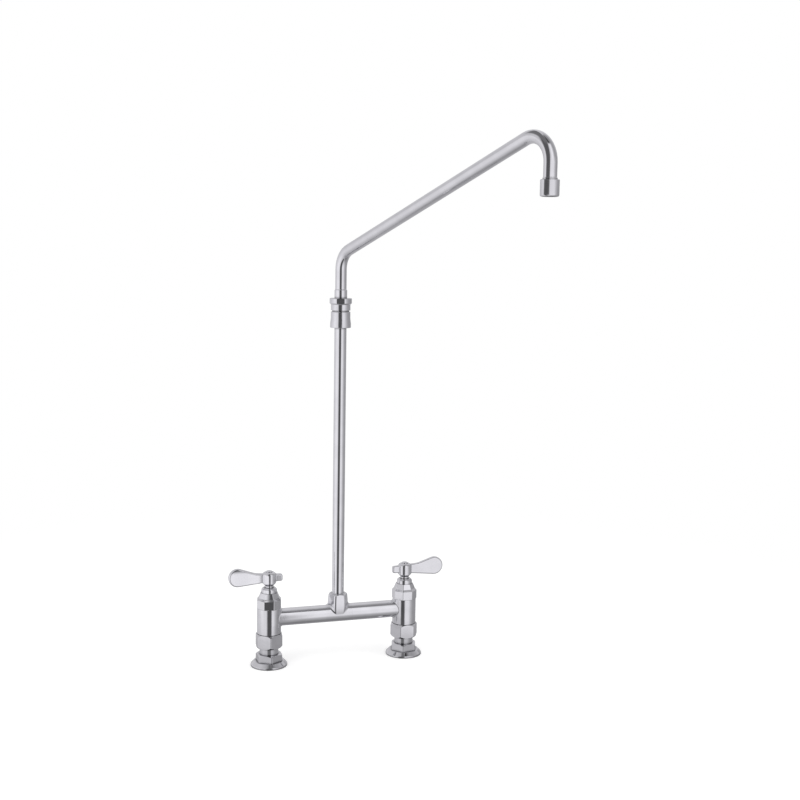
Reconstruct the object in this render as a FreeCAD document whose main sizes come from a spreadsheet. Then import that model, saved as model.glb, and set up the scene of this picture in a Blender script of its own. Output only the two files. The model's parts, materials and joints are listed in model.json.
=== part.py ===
import FreeCAD, Part
import math
import os
import re
import Sketcher
from FreeCAD import Placement, Rotation, Vector

# Deck-mounted bridge mixer with two quarter-turn levers, a tall riser and a swing spout.
# Z is up, z = 0 is the deck, X runs along the bridge and the user stands on the -Y side.
# The origin lies midway between the two inlets.

os.makedirs("parts", exist_ok=True)

# Driving dimensions, in millimetres, degrees and counts
driving = {
    # Clearances, and how far one feature runs into the next
    "thread_gap": 0.1,
    "slip_gap": 0.05,
    "running_gap": 0.06,
    "ring_gap": 0.03,
    "overlap": 1.0,

    # Inlet flange with its hexagonal hub
    "inlet_centres": 203.2,
    "waterway_diameter": 15.0,
    "flange_diameter": 52.6,
    "flange_rim": 2.4,
    "flange_slope": 4.5,
    "flange_height": 7.0,
    "flange_round": 1.4,
    "hub_across": 34.8,
    "hub_height": 10.3,
    "hub_corner_round": 2.5,
    "hub_chamfer": 2.0,
    "hot_hub_turn": 32.0,
    "cold_hub_turn": 12.5,
    "inlet_thread": 18.6,
    "inlet_depth": 10.0,
    "tail_thread": 23.0,
    "tail_depth": 5.5,

    # Union
    "neck_height": 10.1,
    "union_step": 1.7,
    "nut_wall": 2.4,
    "nut_height": 20.1,
    "nut_corner_round": 2.0,
    "nut_lip": 3.0,
    "nut_chamfer": 3.2,
    "hot_nut_turn": 27.0,
    "cold_nut_turn": 0.0,
    "tail_collar": 3.5,
    "tail_collar_play": 0.4,
    "tail_collar_ledge": 1.7,
    "washer_play": 0.6,
    "washer_overhang": 0.5,
    "washer_thickness": 2.0,

    # Valve body with its branch
    "body_diameter": 34.6,
    "body_height": 38.0,
    "body_round": 0.7,
    "branch_rise": 22.1,
    "branch_reach": 22.0,
    "branch_round": 2.0,
    "bridge_diameter": 25.0,
    "bridge_bore": 17.0,
    "spigot_diameter": 21.2,
    "spigot_length": 6.0,
    "seat_rise": 7.5,
    "chamber_play": 1.8,
    "bonnet_thread_wall": 1.1,
    "bonnet_thread_length": 8.5,

    # Ceramic cartridge
    "seal_overhang": 0.2,
    "seal_thickness": 2.0,
    "barrel_diameter": 20.4,
    "barrel_wall": 1.3,
    "barrel_length": 26.0,
    "ledge_rise": 18.3,
    "window_rise": 8.4,
    "window_height": 6.6,
    "window_width": 9.0,
    "disc_gap": 0.1,
    "fixed_disc_thickness": 3.5,
    "moving_disc_thickness": 4.0,
    "disc_hole_inner": 6.0,
    "disc_rim": 1.9,
    "disc_hole_spread": 76.0,
    "tang_length": 12.0,
    "tang_width": 3.9,
    "tang_depth": 1.4,
    "tang_gap": 0.1,
    "lever_swing": 90.0,
    "stop_spread": 30.0,
    "stop_play": 2.0,
    "stop_width": 1.2,
    "spindle_diameter": 9.0,
    "spindle_neck": 12.0,
    "spindle_ledge": 1.6,
    "spindle_collar_height": 2.6,
    "spindle_ring_section": 1.5,
    "spindle_ring_first": 1.8,
    "spindle_ring_pitch": 3.3,
    "clip_thickness": 0.8,
    "clip_depth": 1.0,
    "clip_ledge": 1.7,
    "clip_opening": 60.0,
    "clip_clearance": 0.5,
    "neck_above_barrel": 2.0,
    "stem_to_square": 4.0,
    "square_across": 6.3,
    "square_length": 10.0,

    # Bonnet
    "bonnet_step": 0.3,
    "hot_bonnet_turn": 168.8,
    "cold_bonnet_turn": 0.0,
    "bonnet_collar": 12.0,
    "bonnet_shoulder": 2.8,
    "bonnet_shoulder_step": 2.4,
    "bonnet_taper": 7.2,
    "bonnet_taper_step": 2.8,
    "bonnet_corner_round": 1.5,
    "bonnet_ring_inset": 0.6,
    "bonnet_ring_height": 7.5,
    "bonnet_ring_round": 4.2,
    "bonnet_relief_play": 1.0,
    "bonnet_guide": 5.0,
    "bonnet_seal_section": 1.5,
    "bonnet_groove_height": 2.4,

    # Lever handle
    "handle_gap": 0.4,
    "handle_neck": 12.6,
    "handle_neck_height": 2.2,
    "handle_flare": 3.8,
    "hub_diameter": 19.6,
    "handle_height": 21.9,
    "handle_dome": 4.2,
    "lever_thickness": 7.5,
    "lever_edge_round": 2.2,
    "lever_root_low": 7.4,
    "lever_root_high": 19.3,
    "lever_root_slope": 5.0,
    "lever_flare_slope": 19.0,
    "lever_bend": 30.0,
    "lever_tip_reach": 45.5,
    "lever_tip_rise": 16.0,
    "lever_tip_radius": 13.0,
    "stub_reach": 19.2,
    "stub_low": 8.2,
    "stub_high": 18.2,
    "stub_round": 2.6,
    "lever_root_round": 1.3,
    "screw_diameter": 4.0,
    "screw_length": 10.0,
    "screw_head_diameter": 7.6,
    "screw_head_height": 2.6,
    "screw_head_gap": 0.3,
    "screw_end_gap": 1.0,
    "screw_socket_across": 2.5,
    "screw_socket_depth": 1.6,
    "web_thickness": 2.0,
    "cap_diameter": 9.7,
    "cap_seat": 3.0,
    "cap_height": 4.5,
    "cap_round": 1.4,

    # Outlet tee and riser
    "tee_reach": 20.0,
    "boss_height": 29.4,
    "boss_across": 24.7,
    "boss_waist_swell": 1.15,
    "boss_chamfer": 1.8,
    "boss_corner_round": 4.5,
    "boss_root_round": 4.5,
    "riser_diameter": 17.15,
    "riser_bore": 12.5,
    "riser_length": 415.5,
    "riser_socket": 14.0,

    # Swivel
    "swivel_socket": 14.2,
    "swivel_floor": 3.5,
    "swivel_ring_step": 0.95,
    "swivel_ring_height": 5.5,
    "swivel_taper": 8.0,
    "swivel_diameter": 27.6,
    "swivel_body_height": 22.7,
    "swivel_groove_depth": 1.7,
    "swivel_groove_height": 2.0,
    "swivel_thread_step": 1.8,
    "swivel_thread_length": 9.0,
    "swivel_round": 0.8,
    "bearing_thickness": 1.5,
    "snap_ring_thickness": 1.4,
    "snap_ring_play": 0.4,
    "snap_ring_depth": 0.85,
    "snap_ring_opening": 40.0,
    "swivel_play": 0.4,
    "nut_grip_height": 8.0,
    "nut_flare": 1.8,
    "nut_crown_step": 1.95,
    "nut_crown_height": 7.2,
    "nut_crown_round": 1.2,
    "nut_flat_depth": 1.0,
    "nut_flat_turn": 15.0,
    "nut_throat_gap": 0.3,
    "swivel_ring_section": 1.9,
    "swivel_ring_first": 3.6,
    "swivel_ring_pitch": 5.6,

    # Spout: ferrule, tube and outlet
    "ferrule_wall": 0.95,
    "ferrule_bore": 12.0,
    "ferrule_lift": 0.5,
    "ferrule_show": 11.6,
    "ferrule_socket": 12.6,
    "ferrule_round": 0.5,
    "tube_diameter": 16.0,
    "tube_wall": 1.2,
    "spout_reach": 406.4,
    "spout_turn": 21.0,
    "spout_slope": 20.85,
    "spout_stub": 41.5,
    "lower_bend": 29.5,
    "upper_bend": 30.4,
    "spout_drop": 26.3,
    "collar_skirt": 0.7,
    "collar_show": 1.8,
    "collar_wall": 2.5,
    "collar_thread_step": 1.6,
    "aerator_wall": 0.85,
    "aerator_length": 19.4,
    "aerator_engaged": 9.5,
    "aerator_lip": 1.4,
    "aerator_lip_width": 1.1,
    "aerator_bottom_round": 2.0,
    "aerator_top_round": 0.8,
    "aerator_washer_thickness": 1.8,
    "aerator_washer_overhang": 0.4,
    "insert_play": 0.2,
    "insert_hole": 2.2,
    "insert_inner_circle": 8.0,
    "insert_inner_holes": 6,
    "insert_outer_circle": 14.6,
    "insert_outer_holes": 12,
    "screen_thickness": 0.8,
    "screen_hole": 1.5,
    "screen_pitch": 2.0,
    "screen_rows": 7,
}

# Levels and widths that follow from them
derived = {
    # Inlet flange with its hexagonal hub
    "flange_crown_diameter": "flange_diameter - 2 * flange_slope",
    "hub_top": "flange_height + hub_height",
    "tail_low": "hub_top - tail_depth",

    # Union
    "union_thread": "body_diameter - 2 * union_step",
    "nut_across": "union_thread + 2 * nut_wall",
    "tail_collar_diameter": "union_thread - 2 * tail_collar_play",
    "neck_diameter": "tail_collar_diameter - 2 * tail_collar_ledge",
    "washer_diameter": "union_thread - 2 * washer_play",
    "washer_bore": "waterway_diameter + 2 * washer_overhang",
    "nut_low": "hub_top + neck_height",
    "nut_top": "nut_low + nut_height",
    "lip_top": "nut_low + nut_lip",
    "tail_top": "lip_top + tail_collar",
    "washer_top": "tail_top + washer_thickness",

    # Valve body with its branch
    "chamber_diameter": "barrel_diameter + 2 * chamber_play",
    "bonnet_thread": "chamber_diameter + 2 * bonnet_thread_wall",
    "body_top": "nut_top + body_height",
    "bridge_height": "nut_top + branch_rise",
    "seat": "nut_top + seat_rise",
    "bonnet_low": "body_top - bonnet_thread_length",

    # Ceramic cartridge
    "seal_bore": "waterway_diameter + 2 * seal_overhang",
    "barrel_bore": "barrel_diameter - 2 * barrel_wall",
    "disc_hole_outer": "barrel_bore - 2 * disc_rim",
    "spindle_collar": "spindle_neck + 2 * spindle_ledge",
    "clip_diameter": "spindle_neck + 2 * clip_ledge",
    "barrel_low": "seat + seal_thickness",
    "barrel_top": "barrel_low + barrel_length",
    "ledge": "barrel_low + ledge_rise",
    "moving_low": "barrel_low + fixed_disc_thickness",
    "moving_top": "moving_low + moving_disc_thickness",
    "collar_low": "ledge - spindle_collar_height",
    "neck_bore": "spindle_neck / 2 + running_gap",
    "ring_groove": "spindle_neck / 2 - spindle_ring_section",
    "ring_first": "ledge + spindle_ring_first",
    "neck_top": "barrel_top + neck_above_barrel",
    "guide_bore": "spindle_diameter / 2 + running_gap",

    # Bonnet
    "bonnet_across": "body_diameter - 2 * bonnet_step",
    "bonnet_shoulder_across": "bonnet_across - 2 * bonnet_shoulder_step",
    "bonnet_taper_across": "bonnet_shoulder_across - 2 * bonnet_taper_step",
    "bonnet_ring_diameter": "bonnet_taper_across - 2 * bonnet_ring_inset",
    "bonnet_relief": "spindle_neck + 2 * bonnet_relief_play",
    "collar_top": "body_top + bonnet_collar",
    "shoulder_top": "collar_top + bonnet_shoulder",
    "taper_top": "shoulder_top + bonnet_taper",
    "bonnet_top": "taper_top + bonnet_ring_height",
    "clip_room": "clip_diameter / 2 + clip_clearance",

    # Lever handle
    "handle_low": "bonnet_top + handle_gap",
    "handle_top": "handle_low + handle_height",
    "square_low": "handle_low + stem_to_square",
    "square_top": "square_low + square_length",
    "web_top": "square_top + slip_gap + web_thickness",
    "cap_low": "web_top + cap_seat",

    # Outlet tee and riser
    "boss_waist_across": "boss_across + 2 * boss_waist_swell",
    "boss_top": "bridge_height + boss_height",
    "riser_low": "boss_top - riser_socket",
    "riser_top": "riser_low + riser_length",

    # Swivel
    "swivel_ring_diameter": "swivel_diameter + 2 * swivel_ring_step",
    "swivel_groove_diameter": "swivel_diameter - 2 * swivel_groove_depth",
    "swivel_thread": "swivel_diameter - 2 * swivel_thread_step",
    "snap_ring_diameter": "swivel_thread - 2 * snap_ring_play",
    "nut_crown_diameter": "swivel_diameter + 2 * nut_crown_step",
    "swivel_low": "riser_top - swivel_socket",
    "swivel_shoulder": "swivel_low + swivel_body_height",
    "swivel_thread_low": "swivel_shoulder + swivel_groove_height",
    "swivel_top": "swivel_thread_low + swivel_thread_length",
    "ferrule_seat": "riser_top + swivel_floor",
    "snap_low": "swivel_top + bearing_thickness",
    "snap_top": "snap_low + snap_ring_thickness",
    "nut_throat": "snap_top + swivel_play",
    "crown_low": "swivel_thread_low + nut_grip_height + nut_flare",
    "crown_top": "crown_low + nut_crown_height",

    # Spout: ferrule, tube and outlet
    "ferrule_diameter": "tube_diameter + 2 * ferrule_wall",
    "collar_diameter": "tube_diameter + 2 * collar_skirt",
    "collar_bore": "tube_diameter - 2 * tube_wall",
    "collar_thread": "collar_diameter + 2 * collar_thread_step",
    "aerator_diameter": "collar_thread + 2 * aerator_wall",
    "insert_diameter": "collar_thread - 2 * insert_play",
    "aerator_mouth": "insert_diameter - 2 * aerator_lip_width",
    "aerator_washer_bore": "collar_bore + 2 * aerator_washer_overhang",
    "ferrule_low": "ferrule_seat + ferrule_lift",
    "ferrule_top": "crown_top + ferrule_show",
    "tube_low": "ferrule_top - ferrule_socket",
    "bore_radius": "ferrule_diameter / 2 + running_gap",
    "seal_groove": "bore_radius - ring_gap - swivel_ring_section",
    "arm_start": "tube_low + spout_stub + lower_bend * tan((90 - spout_slope) / 2)",
    "arm_end": "arm_start + spout_reach * tan(spout_slope)",
    "tube_end": "arm_end - upper_bend * tan((90 + spout_slope) / 2) - spout_drop",
    "thread_end": "tube_end - collar_wall",
    "thread_top": "thread_end + aerator_engaged",
    "aerator_top": "thread_top + slip_gap",
    "aerator_low": "aerator_top - aerator_length",
    "screen_low": "aerator_low + aerator_lip",
    "insert_low": "screen_low + screen_thickness",
    "insert_top": "thread_end - aerator_washer_thickness",
}

document = FreeCAD.newDocument("bridge_mixer")
sizes = document.addObject("Spreadsheet::Sheet", "Sizes")
names = list(driving) + list(derived)
for row, name in enumerate(names, 1):
    sizes.set("A%d" % row, name)
    sizes.set("B%d" % row, str(driving[name]) if name in driving else "=" + derived[name])
    sizes.setAlias("B%d" % row, name)
document.recompute()
pieces = []


def bound(expression):
    """The expression with the sheet's name before each size."""
    return re.sub("[a-z_]+", lambda word: ("Sizes." if word.group() in names else "") + word.group(),
                  expression)


def number(expression):
    return float(sizes.evalExpression(bound(expression)))


def bind(thing, field, expression):
    thing.setExpression(field, bound(expression))


# Building blocks for every piece

def piece(label):
    body = document.addObject("PartDesign::Body", label)
    body.Label = label
    pieces.append(body)
    return body


def sketch(body, name, role="XZ_Plane", offset=None):
    drawn = body.newObject("Sketcher::SketchObject", name)
    plane = next(feature for feature in body.Origin.OriginFeatures if feature.Role == role)
    drawn.AttachmentSupport = [(plane, "")]
    drawn.MapMode = "FlatFace"
    if offset:
        bind(drawn, "AttachmentOffset.Base.z", offset)
    return drawn


def measure(drawn, constraint, expression):
    """Adds a constraint whose value follows the sheet."""
    index = drawn.addConstraint(constraint)
    bind(drawn, "Constraints[%d]" % index, expression)


def pin(drawn, curve, end, across, along):
    """Fixes a point of a sketch by its two coordinates."""
    for kind, axis, value in (("DistanceX", -2, across), ("DistanceY", -1, along)):
        if value == "0":
            drawn.addConstraint(Sketcher.Constraint("PointOnObject", curve, end, axis))
        else:
            measure(drawn, Sketcher.Constraint(kind, -1, 1, curve, end, number(value)), value)


def join(drawn, first, first_end, second, second_end, kind="Coincident"):
    drawn.addConstraint(Sketcher.Constraint(kind, first, first_end, second, second_end))


def outline(body, name, corners, role="XZ_Plane", offset=None):
    """A closed run of straight lines through the corners."""
    drawn = sketch(body, name, role, offset)
    spots = [Vector(number(across), number(along), 0) for across, along in corners]
    count = len(spots)
    for k in range(count):
        drawn.addGeometry(Part.LineSegment(spots[k], spots[(k + 1) % count]))
    for k in range(count):
        join(drawn, k, 2, (k + 1) % count, 1)
    for k, (across, along) in enumerate(corners):
        pin(drawn, k, 1, across, along)
    return drawn


def turn_about(drawn, axis, angle):
    """Turns a sketch about an axis of its own plane."""
    drawn.AttachmentOffset = Placement(drawn.AttachmentOffset.Base, Rotation(axis, 1))
    bind(drawn, "AttachmentOffset.Rotation.Angle", angle)


def turned(body, name, corners, kind="Revolution", spread=None, middle=None):
    """Turns an outline of (radius, height) corners about the Z axis, all round or through a spread."""
    profile = outline(body, name + "Profile", corners)
    if middle:
        turn_about(profile, Vector(0, 1, 0), middle)
    feature = body.newObject("PartDesign::" + kind, name)
    feature.Profile = profile
    feature.ReferenceAxis = (profile, ["V_Axis"])
    feature.Midplane = spread is not None
    feature.Angle = 360
    if spread:
        bind(feature, "Angle", spread)
    return feature


def ring(inner, outer, low, high):
    """The four corners of a ring's section."""
    return [(inner, low), (outer, low), (outer, high), (inner, high)]


def bored(body, name, radius, low, high):
    """A round hole on the Z axis."""
    return turned(body, name, ring("0", radius, low, high), "Groove")


def polygon_block(body, name, sides, across, low, height, turn, kind="AdditivePrism"):
    """A straight prism, sized across its flats, whose corner lies at the turn."""
    prism = body.newObject("PartDesign::" + kind, name)
    prism.Polygon = sides
    bind(prism, "Circumradius", "(%s) / 2 / cos(%g)" % (across, 180 / sides))
    bind(prism, "Height", height)
    bind(prism, "Placement.Base.z", low)
    bind(prism, "Placement.Rotation.Angle", turn)
    return prism


def polygon_sketch(body, name, sides, across, corner, height):
    """A regular polygon with rounded corners about the origin, with flats towards -Y and +Y."""
    drawn = sketch(body, name, "XY_Plane", height)
    reach = "((%s) / 2 - %s) / cos(%g)" % (across, corner, 180 / sides)
    half = math.pi / sides
    up = Vector(0, 0, 1)
    arcs = []
    for k in range(sides):
        turn = (2 * k + 1) * half - math.pi / 2
        centre = Vector(math.cos(turn), math.sin(turn), 0) * number(reach)
        arcs.append(Part.ArcOfCircle(Part.Circle(centre, up, number(corner)), turn - half, turn + half))
    for k in range(sides):
        drawn.addGeometry(Part.LineSegment(arcs[k - 1].EndPoint, arcs[k].StartPoint))
        drawn.addGeometry(arcs[k])
    circle = drawn.addGeometry(Part.Circle(Vector(), up, number(reach)), True)
    for k in range(2 * sides):
        join(drawn, k, 2, (k + 1) % (2 * sides), 1, "Tangent")
    for k in range(2, 2 * sides):
        drawn.addConstraint(Sketcher.Constraint("Equal", k % 2, k))
    for k in range(sides):
        drawn.addConstraint(Sketcher.Constraint("PointOnObject", 2 * k + 1, 3, circle))
    join(drawn, circle, 3, -1, 1)
    drawn.addConstraint(Sketcher.Constraint("Horizontal", 0))
    measure(drawn, Sketcher.Constraint("Radius", 1, number(corner)), corner)
    measure(drawn, Sketcher.Constraint("Radius", circle, number(reach)), reach)
    return drawn


def polygon_loft(body, name, sides, corner, sections, ruled):
    """A solid through round-cornered polygons given as (size across flats, height)."""
    drawn = [polygon_sketch(body, "%sSection%d" % (name, k), sides, across, corner, height)
             for k, (across, height) in enumerate(sections)]
    loft = body.newObject("PartDesign::AdditiveLoft", name)
    loft.Profile = drawn[0]
    loft.Sections = drawn[1:]
    loft.Ruled = ruled
    return loft


def corners_cut(body, name, sides, across, end, chamfer):
    """Turns the corners of a prism's end down to its flats; a negative chamfer cuts downwards."""
    flat = "(%s) / 2" % across
    beyond = "(%s) * (1 / cos(%g) - 0.5)" % (across, 180 / sides)
    return turned(body, name, [(flat, end), (beyond, end), (beyond, "%s + 2 * (%s)" % (end, chamfer))],
                  "Groove")


def rod_across(body, name, radius, start, length, height, kind="AdditiveCylinder"):
    """A cylinder along X, from start towards +X."""
    rod = body.newObject("PartDesign::" + kind, name)
    rod.Placement = Placement(Vector(), Rotation(Vector(0, 1, 0), 90))
    bind(rod, "Radius", radius)
    bind(rod, "Height", length)
    bind(rod, "Placement.Base.x", start)
    bind(rod, "Placement.Base.z", height)
    return rod


def block(body, name, long, wide, low, high, kind="AdditiveBox"):
    """A box centred on the Z axis, long in X and wide in Y."""
    box = body.newObject("PartDesign::" + kind, name)
    bind(box, "Length", long)
    bind(box, "Width", wide)
    bind(box, "Height", "%s - (%s)" % (high, low))
    bind(box, "Placement.Base.x", "-(%s) / 2" % long)
    bind(box, "Placement.Base.y", "-(%s) / 2" % wide)
    bind(box, "Placement.Base.z", low)
    return box


def torus(body, name, inner, section, height):
    """An O-ring on the Z axis, from its inner radius and section."""
    shape = body.newObject("PartDesign::AdditiveTorus", name)
    bind(shape, "Radius1", "%s + (%s) / 2" % (inner, section))
    bind(shape, "Radius2", "(%s) / 2" % section)
    bind(shape, "Placement.Base.z", height)
    return shape


def rounded(body, name, radius, chosen, kind="Fillet"):
    """Rounds or bevels the edges that the test chooses."""
    document.recompute()
    base = body.Tip
    edges = ["Edge%d" % (k + 1) for k, edge in enumerate(base.Shape.Edges) if chosen(edge)]
    feature = body.newObject("PartDesign::" + kind, name)
    feature.Base = (base, edges)
    bind(feature, "Radius" if kind == "Fillet" else "Size", radius)
    return feature


def on_rings(*places):
    """Chooses the round edges about the Z axis at the given (radius, height) places."""
    wanted = [(number(radius), number(height)) for radius, height in places]

    def chosen(edge):
        if not isinstance(edge.Curve, Part.Circle):
            return False
        centre = edge.Curve.Center
        return math.hypot(centre.x, centre.y) < 0.001 and any(
            abs(edge.Curve.Radius - radius) < 0.001 and abs(centre.z - height) < 0.001
            for radius, height in wanted)
    return chosen


def on_corners(sides, across):
    """Chooses the upright corner edges of a straight prism."""
    corner = number("(%s) / 2 / cos(%g)" % (across, 180 / sides))

    def chosen(edge):
        middle = edge.CenterOfMass
        return isinstance(edge.Curve, Part.Line) and abs(math.hypot(middle.x, middle.y) - corner) < 0.001
    return chosen


# Inlet columns. Each is drawn about its own axis with the lever towards +X and the branch towards
# -X, and the hot column is the cold one turned half round.

def stand(body, side):
    if side == "hot":
        body.Placement = Placement(Vector(), Rotation(Vector(0, 0, 1), 180))
        bind(body, "Placement.Base.x", "-inlet_centres / 2")
    else:
        bind(body, "Placement.Base.x", "inlet_centres / 2")
    return body


def inlet_flange(side):
    body = stand(piece(side + "_inlet_flange"), side)
    turned(body, "Disc", [("0", "0"), ("flange_diameter / 2", "0"), ("flange_diameter / 2", "flange_rim"),
                          ("flange_crown_diameter / 2", "flange_height"), ("0", "flange_height")])
    rounded(body, "RimRound", "flange_round", on_rings(("flange_diameter / 2", "flange_rim")))
    polygon_block(body, "Hub", 6, "hub_across", "flange_height / 2", "hub_height + flange_height / 2",
                  side + "_hub_turn")
    rounded(body, "HubCorners", "hub_corner_round", on_corners(6, "hub_across"))
    corners_cut(body, "HubTop", 6, "hub_across", "hub_top", "-hub_chamfer")
    turned(body, "Bores", [("0", "0"), ("inlet_thread / 2", "0"), ("inlet_thread / 2", "inlet_depth"),
                           ("waterway_diameter / 2", "inlet_depth"), ("waterway_diameter / 2", "tail_low"),
                           ("tail_thread / 2 + thread_gap", "tail_low"),
                           ("tail_thread / 2 + thread_gap", "hub_top"), ("0", "hub_top")], "Groove")


def union_tailpiece(side):
    body = stand(piece(side + "_union_tailpiece"), side)
    turned(body, "Tail", [("waterway_diameter / 2", "tail_low"), ("tail_thread / 2", "tail_low"),
                          ("tail_thread / 2", "hub_top"), ("neck_diameter / 2", "hub_top"),
                          ("neck_diameter / 2", "lip_top"), ("tail_collar_diameter / 2", "lip_top"),
                          ("tail_collar_diameter / 2", "tail_top"), ("waterway_diameter / 2", "tail_top")])


def union_washer(side):
    body = stand(piece(side + "_union_washer"), side)
    turned(body, "Washer", ring("washer_bore / 2", "washer_diameter / 2", "tail_top", "washer_top"))


def union_nut(side):
    body = stand(piece(side + "_union_nut"), side)
    polygon_block(body, "Hexagon", 6, "nut_across", "nut_low", "nut_height", side + "_nut_turn")
    rounded(body, "Corners", "nut_corner_round", on_corners(6, "nut_across"))
    corners_cut(body, "LowerCorners", 6, "nut_across", "nut_low", "nut_chamfer")
    corners_cut(body, "UpperCorners", 6, "nut_across", "nut_top", "-nut_chamfer")
    throat = "neck_diameter / 2 + thread_gap"
    thread = "union_thread / 2 + thread_gap"
    turned(body, "Bores", [("0", "nut_low"), (throat, "nut_low"), (throat, "lip_top"), (thread, "lip_top"),
                           (thread, "nut_top"), ("0", "nut_top")], "Groove")


def valve_body(side):
    body = stand(piece(side + "_valve_body"), side)
    turned(body, "Column", [("0", "washer_top"), ("union_thread / 2", "washer_top"),
                            ("union_thread / 2", "nut_top"), ("body_diameter / 2", "nut_top"),
                            ("body_diameter / 2", "body_top"), ("0", "body_top")])
    rod_across(body, "Branch", "bridge_diameter / 2", "-branch_reach", "branch_reach", "bridge_height")
    wall = number("body_diameter / 2")
    rounded(body, "BranchRound", "branch_round",
            lambda edge: not isinstance(edge.Curve, (Part.Circle, Part.Line))
            and abs(math.hypot(edge.valueAt(edge.FirstParameter).x, edge.valueAt(edge.FirstParameter).y)
                    - wall) < 0.01)
    rounded(body, "EndRound", "body_round", on_rings(("body_diameter / 2", "nut_top"),
                                                     ("body_diameter / 2", "body_top")))
    inlet = "waterway_diameter / 2"
    chamber = "chamber_diameter / 2"
    thread = "bonnet_thread / 2 + thread_gap"
    turned(body, "Bores", [("0", "washer_top"), (inlet, "washer_top"), (inlet, "seat"), (chamber, "seat"),
                           (chamber, "bonnet_low"), (thread, "bonnet_low"), (thread, "body_top"),
                           ("0", "body_top")], "Groove")
    rod_across(body, "Port", "bridge_bore / 2", "-branch_reach", "branch_reach - chamber_diameter / 4",
               "bridge_height", "SubtractiveCylinder")
    rod_across(body, "Socket", "spigot_diameter / 2 + slip_gap", "-branch_reach", "spigot_length",
               "bridge_height", "SubtractiveCylinder")


def cartridge_seal(side):
    body = stand(piece(side + "_cartridge_seal"), side)
    turned(body, "Seal", ring("seal_bore / 2", "barrel_diameter / 2", "seat", "barrel_low"))


def cartridge_body(side, swing):
    body = stand(piece(side + "_cartridge_body"), side)
    wall = "barrel_bore / 2"
    turned(body, "Barrel", [(wall, "barrel_low"), ("barrel_diameter / 2", "barrel_low"),
                            ("barrel_diameter / 2", "barrel_top"), ("neck_bore", "barrel_top"),
                            ("neck_bore", "ledge"), (wall, "ledge")])
    block(body, "Windows", "barrel_diameter + 2 * overlap", "window_width", "barrel_low + window_rise",
          "barrel_low + window_rise + window_height", "SubtractiveBox")
    turned(body, "Stop", ring(wall + " - stop_width", wall + " + overlap", "collar_low", "ledge + overlap"),
           spread="360 - lever_swing - stop_spread - 2 * stop_play",
           middle="180 + %d * lever_swing / 2" % swing)


def fixed_disc(side):
    body = stand(piece(side + "_fixed_disc"), side)
    turned(body, "Disc", ring("0", "barrel_bore / 2 - disc_gap", "barrel_low", "moving_low"))
    for k in range(2):
        turned(body, "Hole%d" % k, ring("disc_hole_inner / 2", "disc_hole_outer / 2", "barrel_low",
                                        "moving_low"), "Groove", "disc_hole_spread", "%d" % (90 + 180 * k))


def moving_disc(side):
    body = stand(piece(side + "_moving_disc"), side)
    turned(body, "Disc", ring("0", "barrel_bore / 2 - 2 * disc_gap", "moving_low", "moving_top"))
    for k in range(2):
        turned(body, "Hole%d" % k, ring("disc_hole_inner / 2", "disc_hole_outer / 2", "moving_low",
                                        "moving_top"), "Groove", "disc_hole_spread",
               "lever_swing - 90 + %d" % (180 * k))
    block(body, "Slot", "tang_width + 2 * tang_gap", "tang_length + 2 * tang_gap",
          "moving_top - tang_depth - tang_gap", "moving_top", "SubtractiveBox")


def spindle(side):
    body = stand(piece(side + "_spindle"), side)
    turned(body, "Shaft", [("0", "moving_top"), ("spindle_diameter / 2", "moving_top"),
                           ("spindle_diameter / 2", "collar_low"), ("spindle_collar / 2", "collar_low"),
                           ("spindle_collar / 2", "ledge"), ("spindle_neck / 2", "ledge"),
                           ("spindle_neck / 2", "neck_top"), ("spindle_diameter / 2", "neck_top"),
                           ("spindle_diameter / 2", "square_low"), ("0", "square_low")])
    turned(body, "StopTab", ring("spindle_collar / 2 - overlap", "barrel_bore / 2 - disc_gap", "collar_low",
                                 "ledge"), spread="stop_spread", middle="0.0")
    block(body, "Tang", "tang_width", "tang_length", "moving_top - tang_depth", "moving_top + overlap")
    block(body, "Square", "square_across", "square_across", "square_low - overlap", "square_top")
    for k in range(2):
        middle = "ring_first + %d * spindle_ring_pitch" % k
        half = "spindle_ring_section / 2 + ring_gap"
        turned(body, "RingGroove%d" % k, ring("ring_groove", "spindle_neck / 2 + overlap",
                                              "%s - (%s)" % (middle, half),
                                              "%s + %s" % (middle, half)), "Groove")
    turned(body, "ClipGroove", ring("spindle_neck / 2 - clip_depth", "spindle_neck / 2 + overlap",
                                    "barrel_top", "barrel_top + clip_thickness + slip_gap"), "Groove")
    bored(body, "TappedHole", "screw_diameter / 2 + slip_gap", "square_top - screw_length", "square_top")


def spindle_rings(side):
    body = stand(piece(side + "_spindle_orings"), side)
    for k in range(2):
        torus(body, "Ring%d" % k, "ring_groove + ring_gap / 2", "spindle_ring_section",
              "ring_first + %d * spindle_ring_pitch" % k)


def spindle_clip(side):
    body = stand(piece(side + "_spindle_clip"), side)
    turned(body, "Clip", ring("spindle_neck / 2 - clip_depth + slip_gap", "clip_diameter / 2", "barrel_top",
                              "barrel_top + clip_thickness"), spread="360 - clip_opening", middle="90")


def bonnet_seal(side):
    body = stand(piece(side + "_bonnet_seal"), side)
    torus(body, "Ring", "bonnet_thread / 2 + thread_gap - ring_gap - bonnet_seal_section",
          "bonnet_seal_section", "body_top - bonnet_seal_section / 2 - ring_gap")


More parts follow.
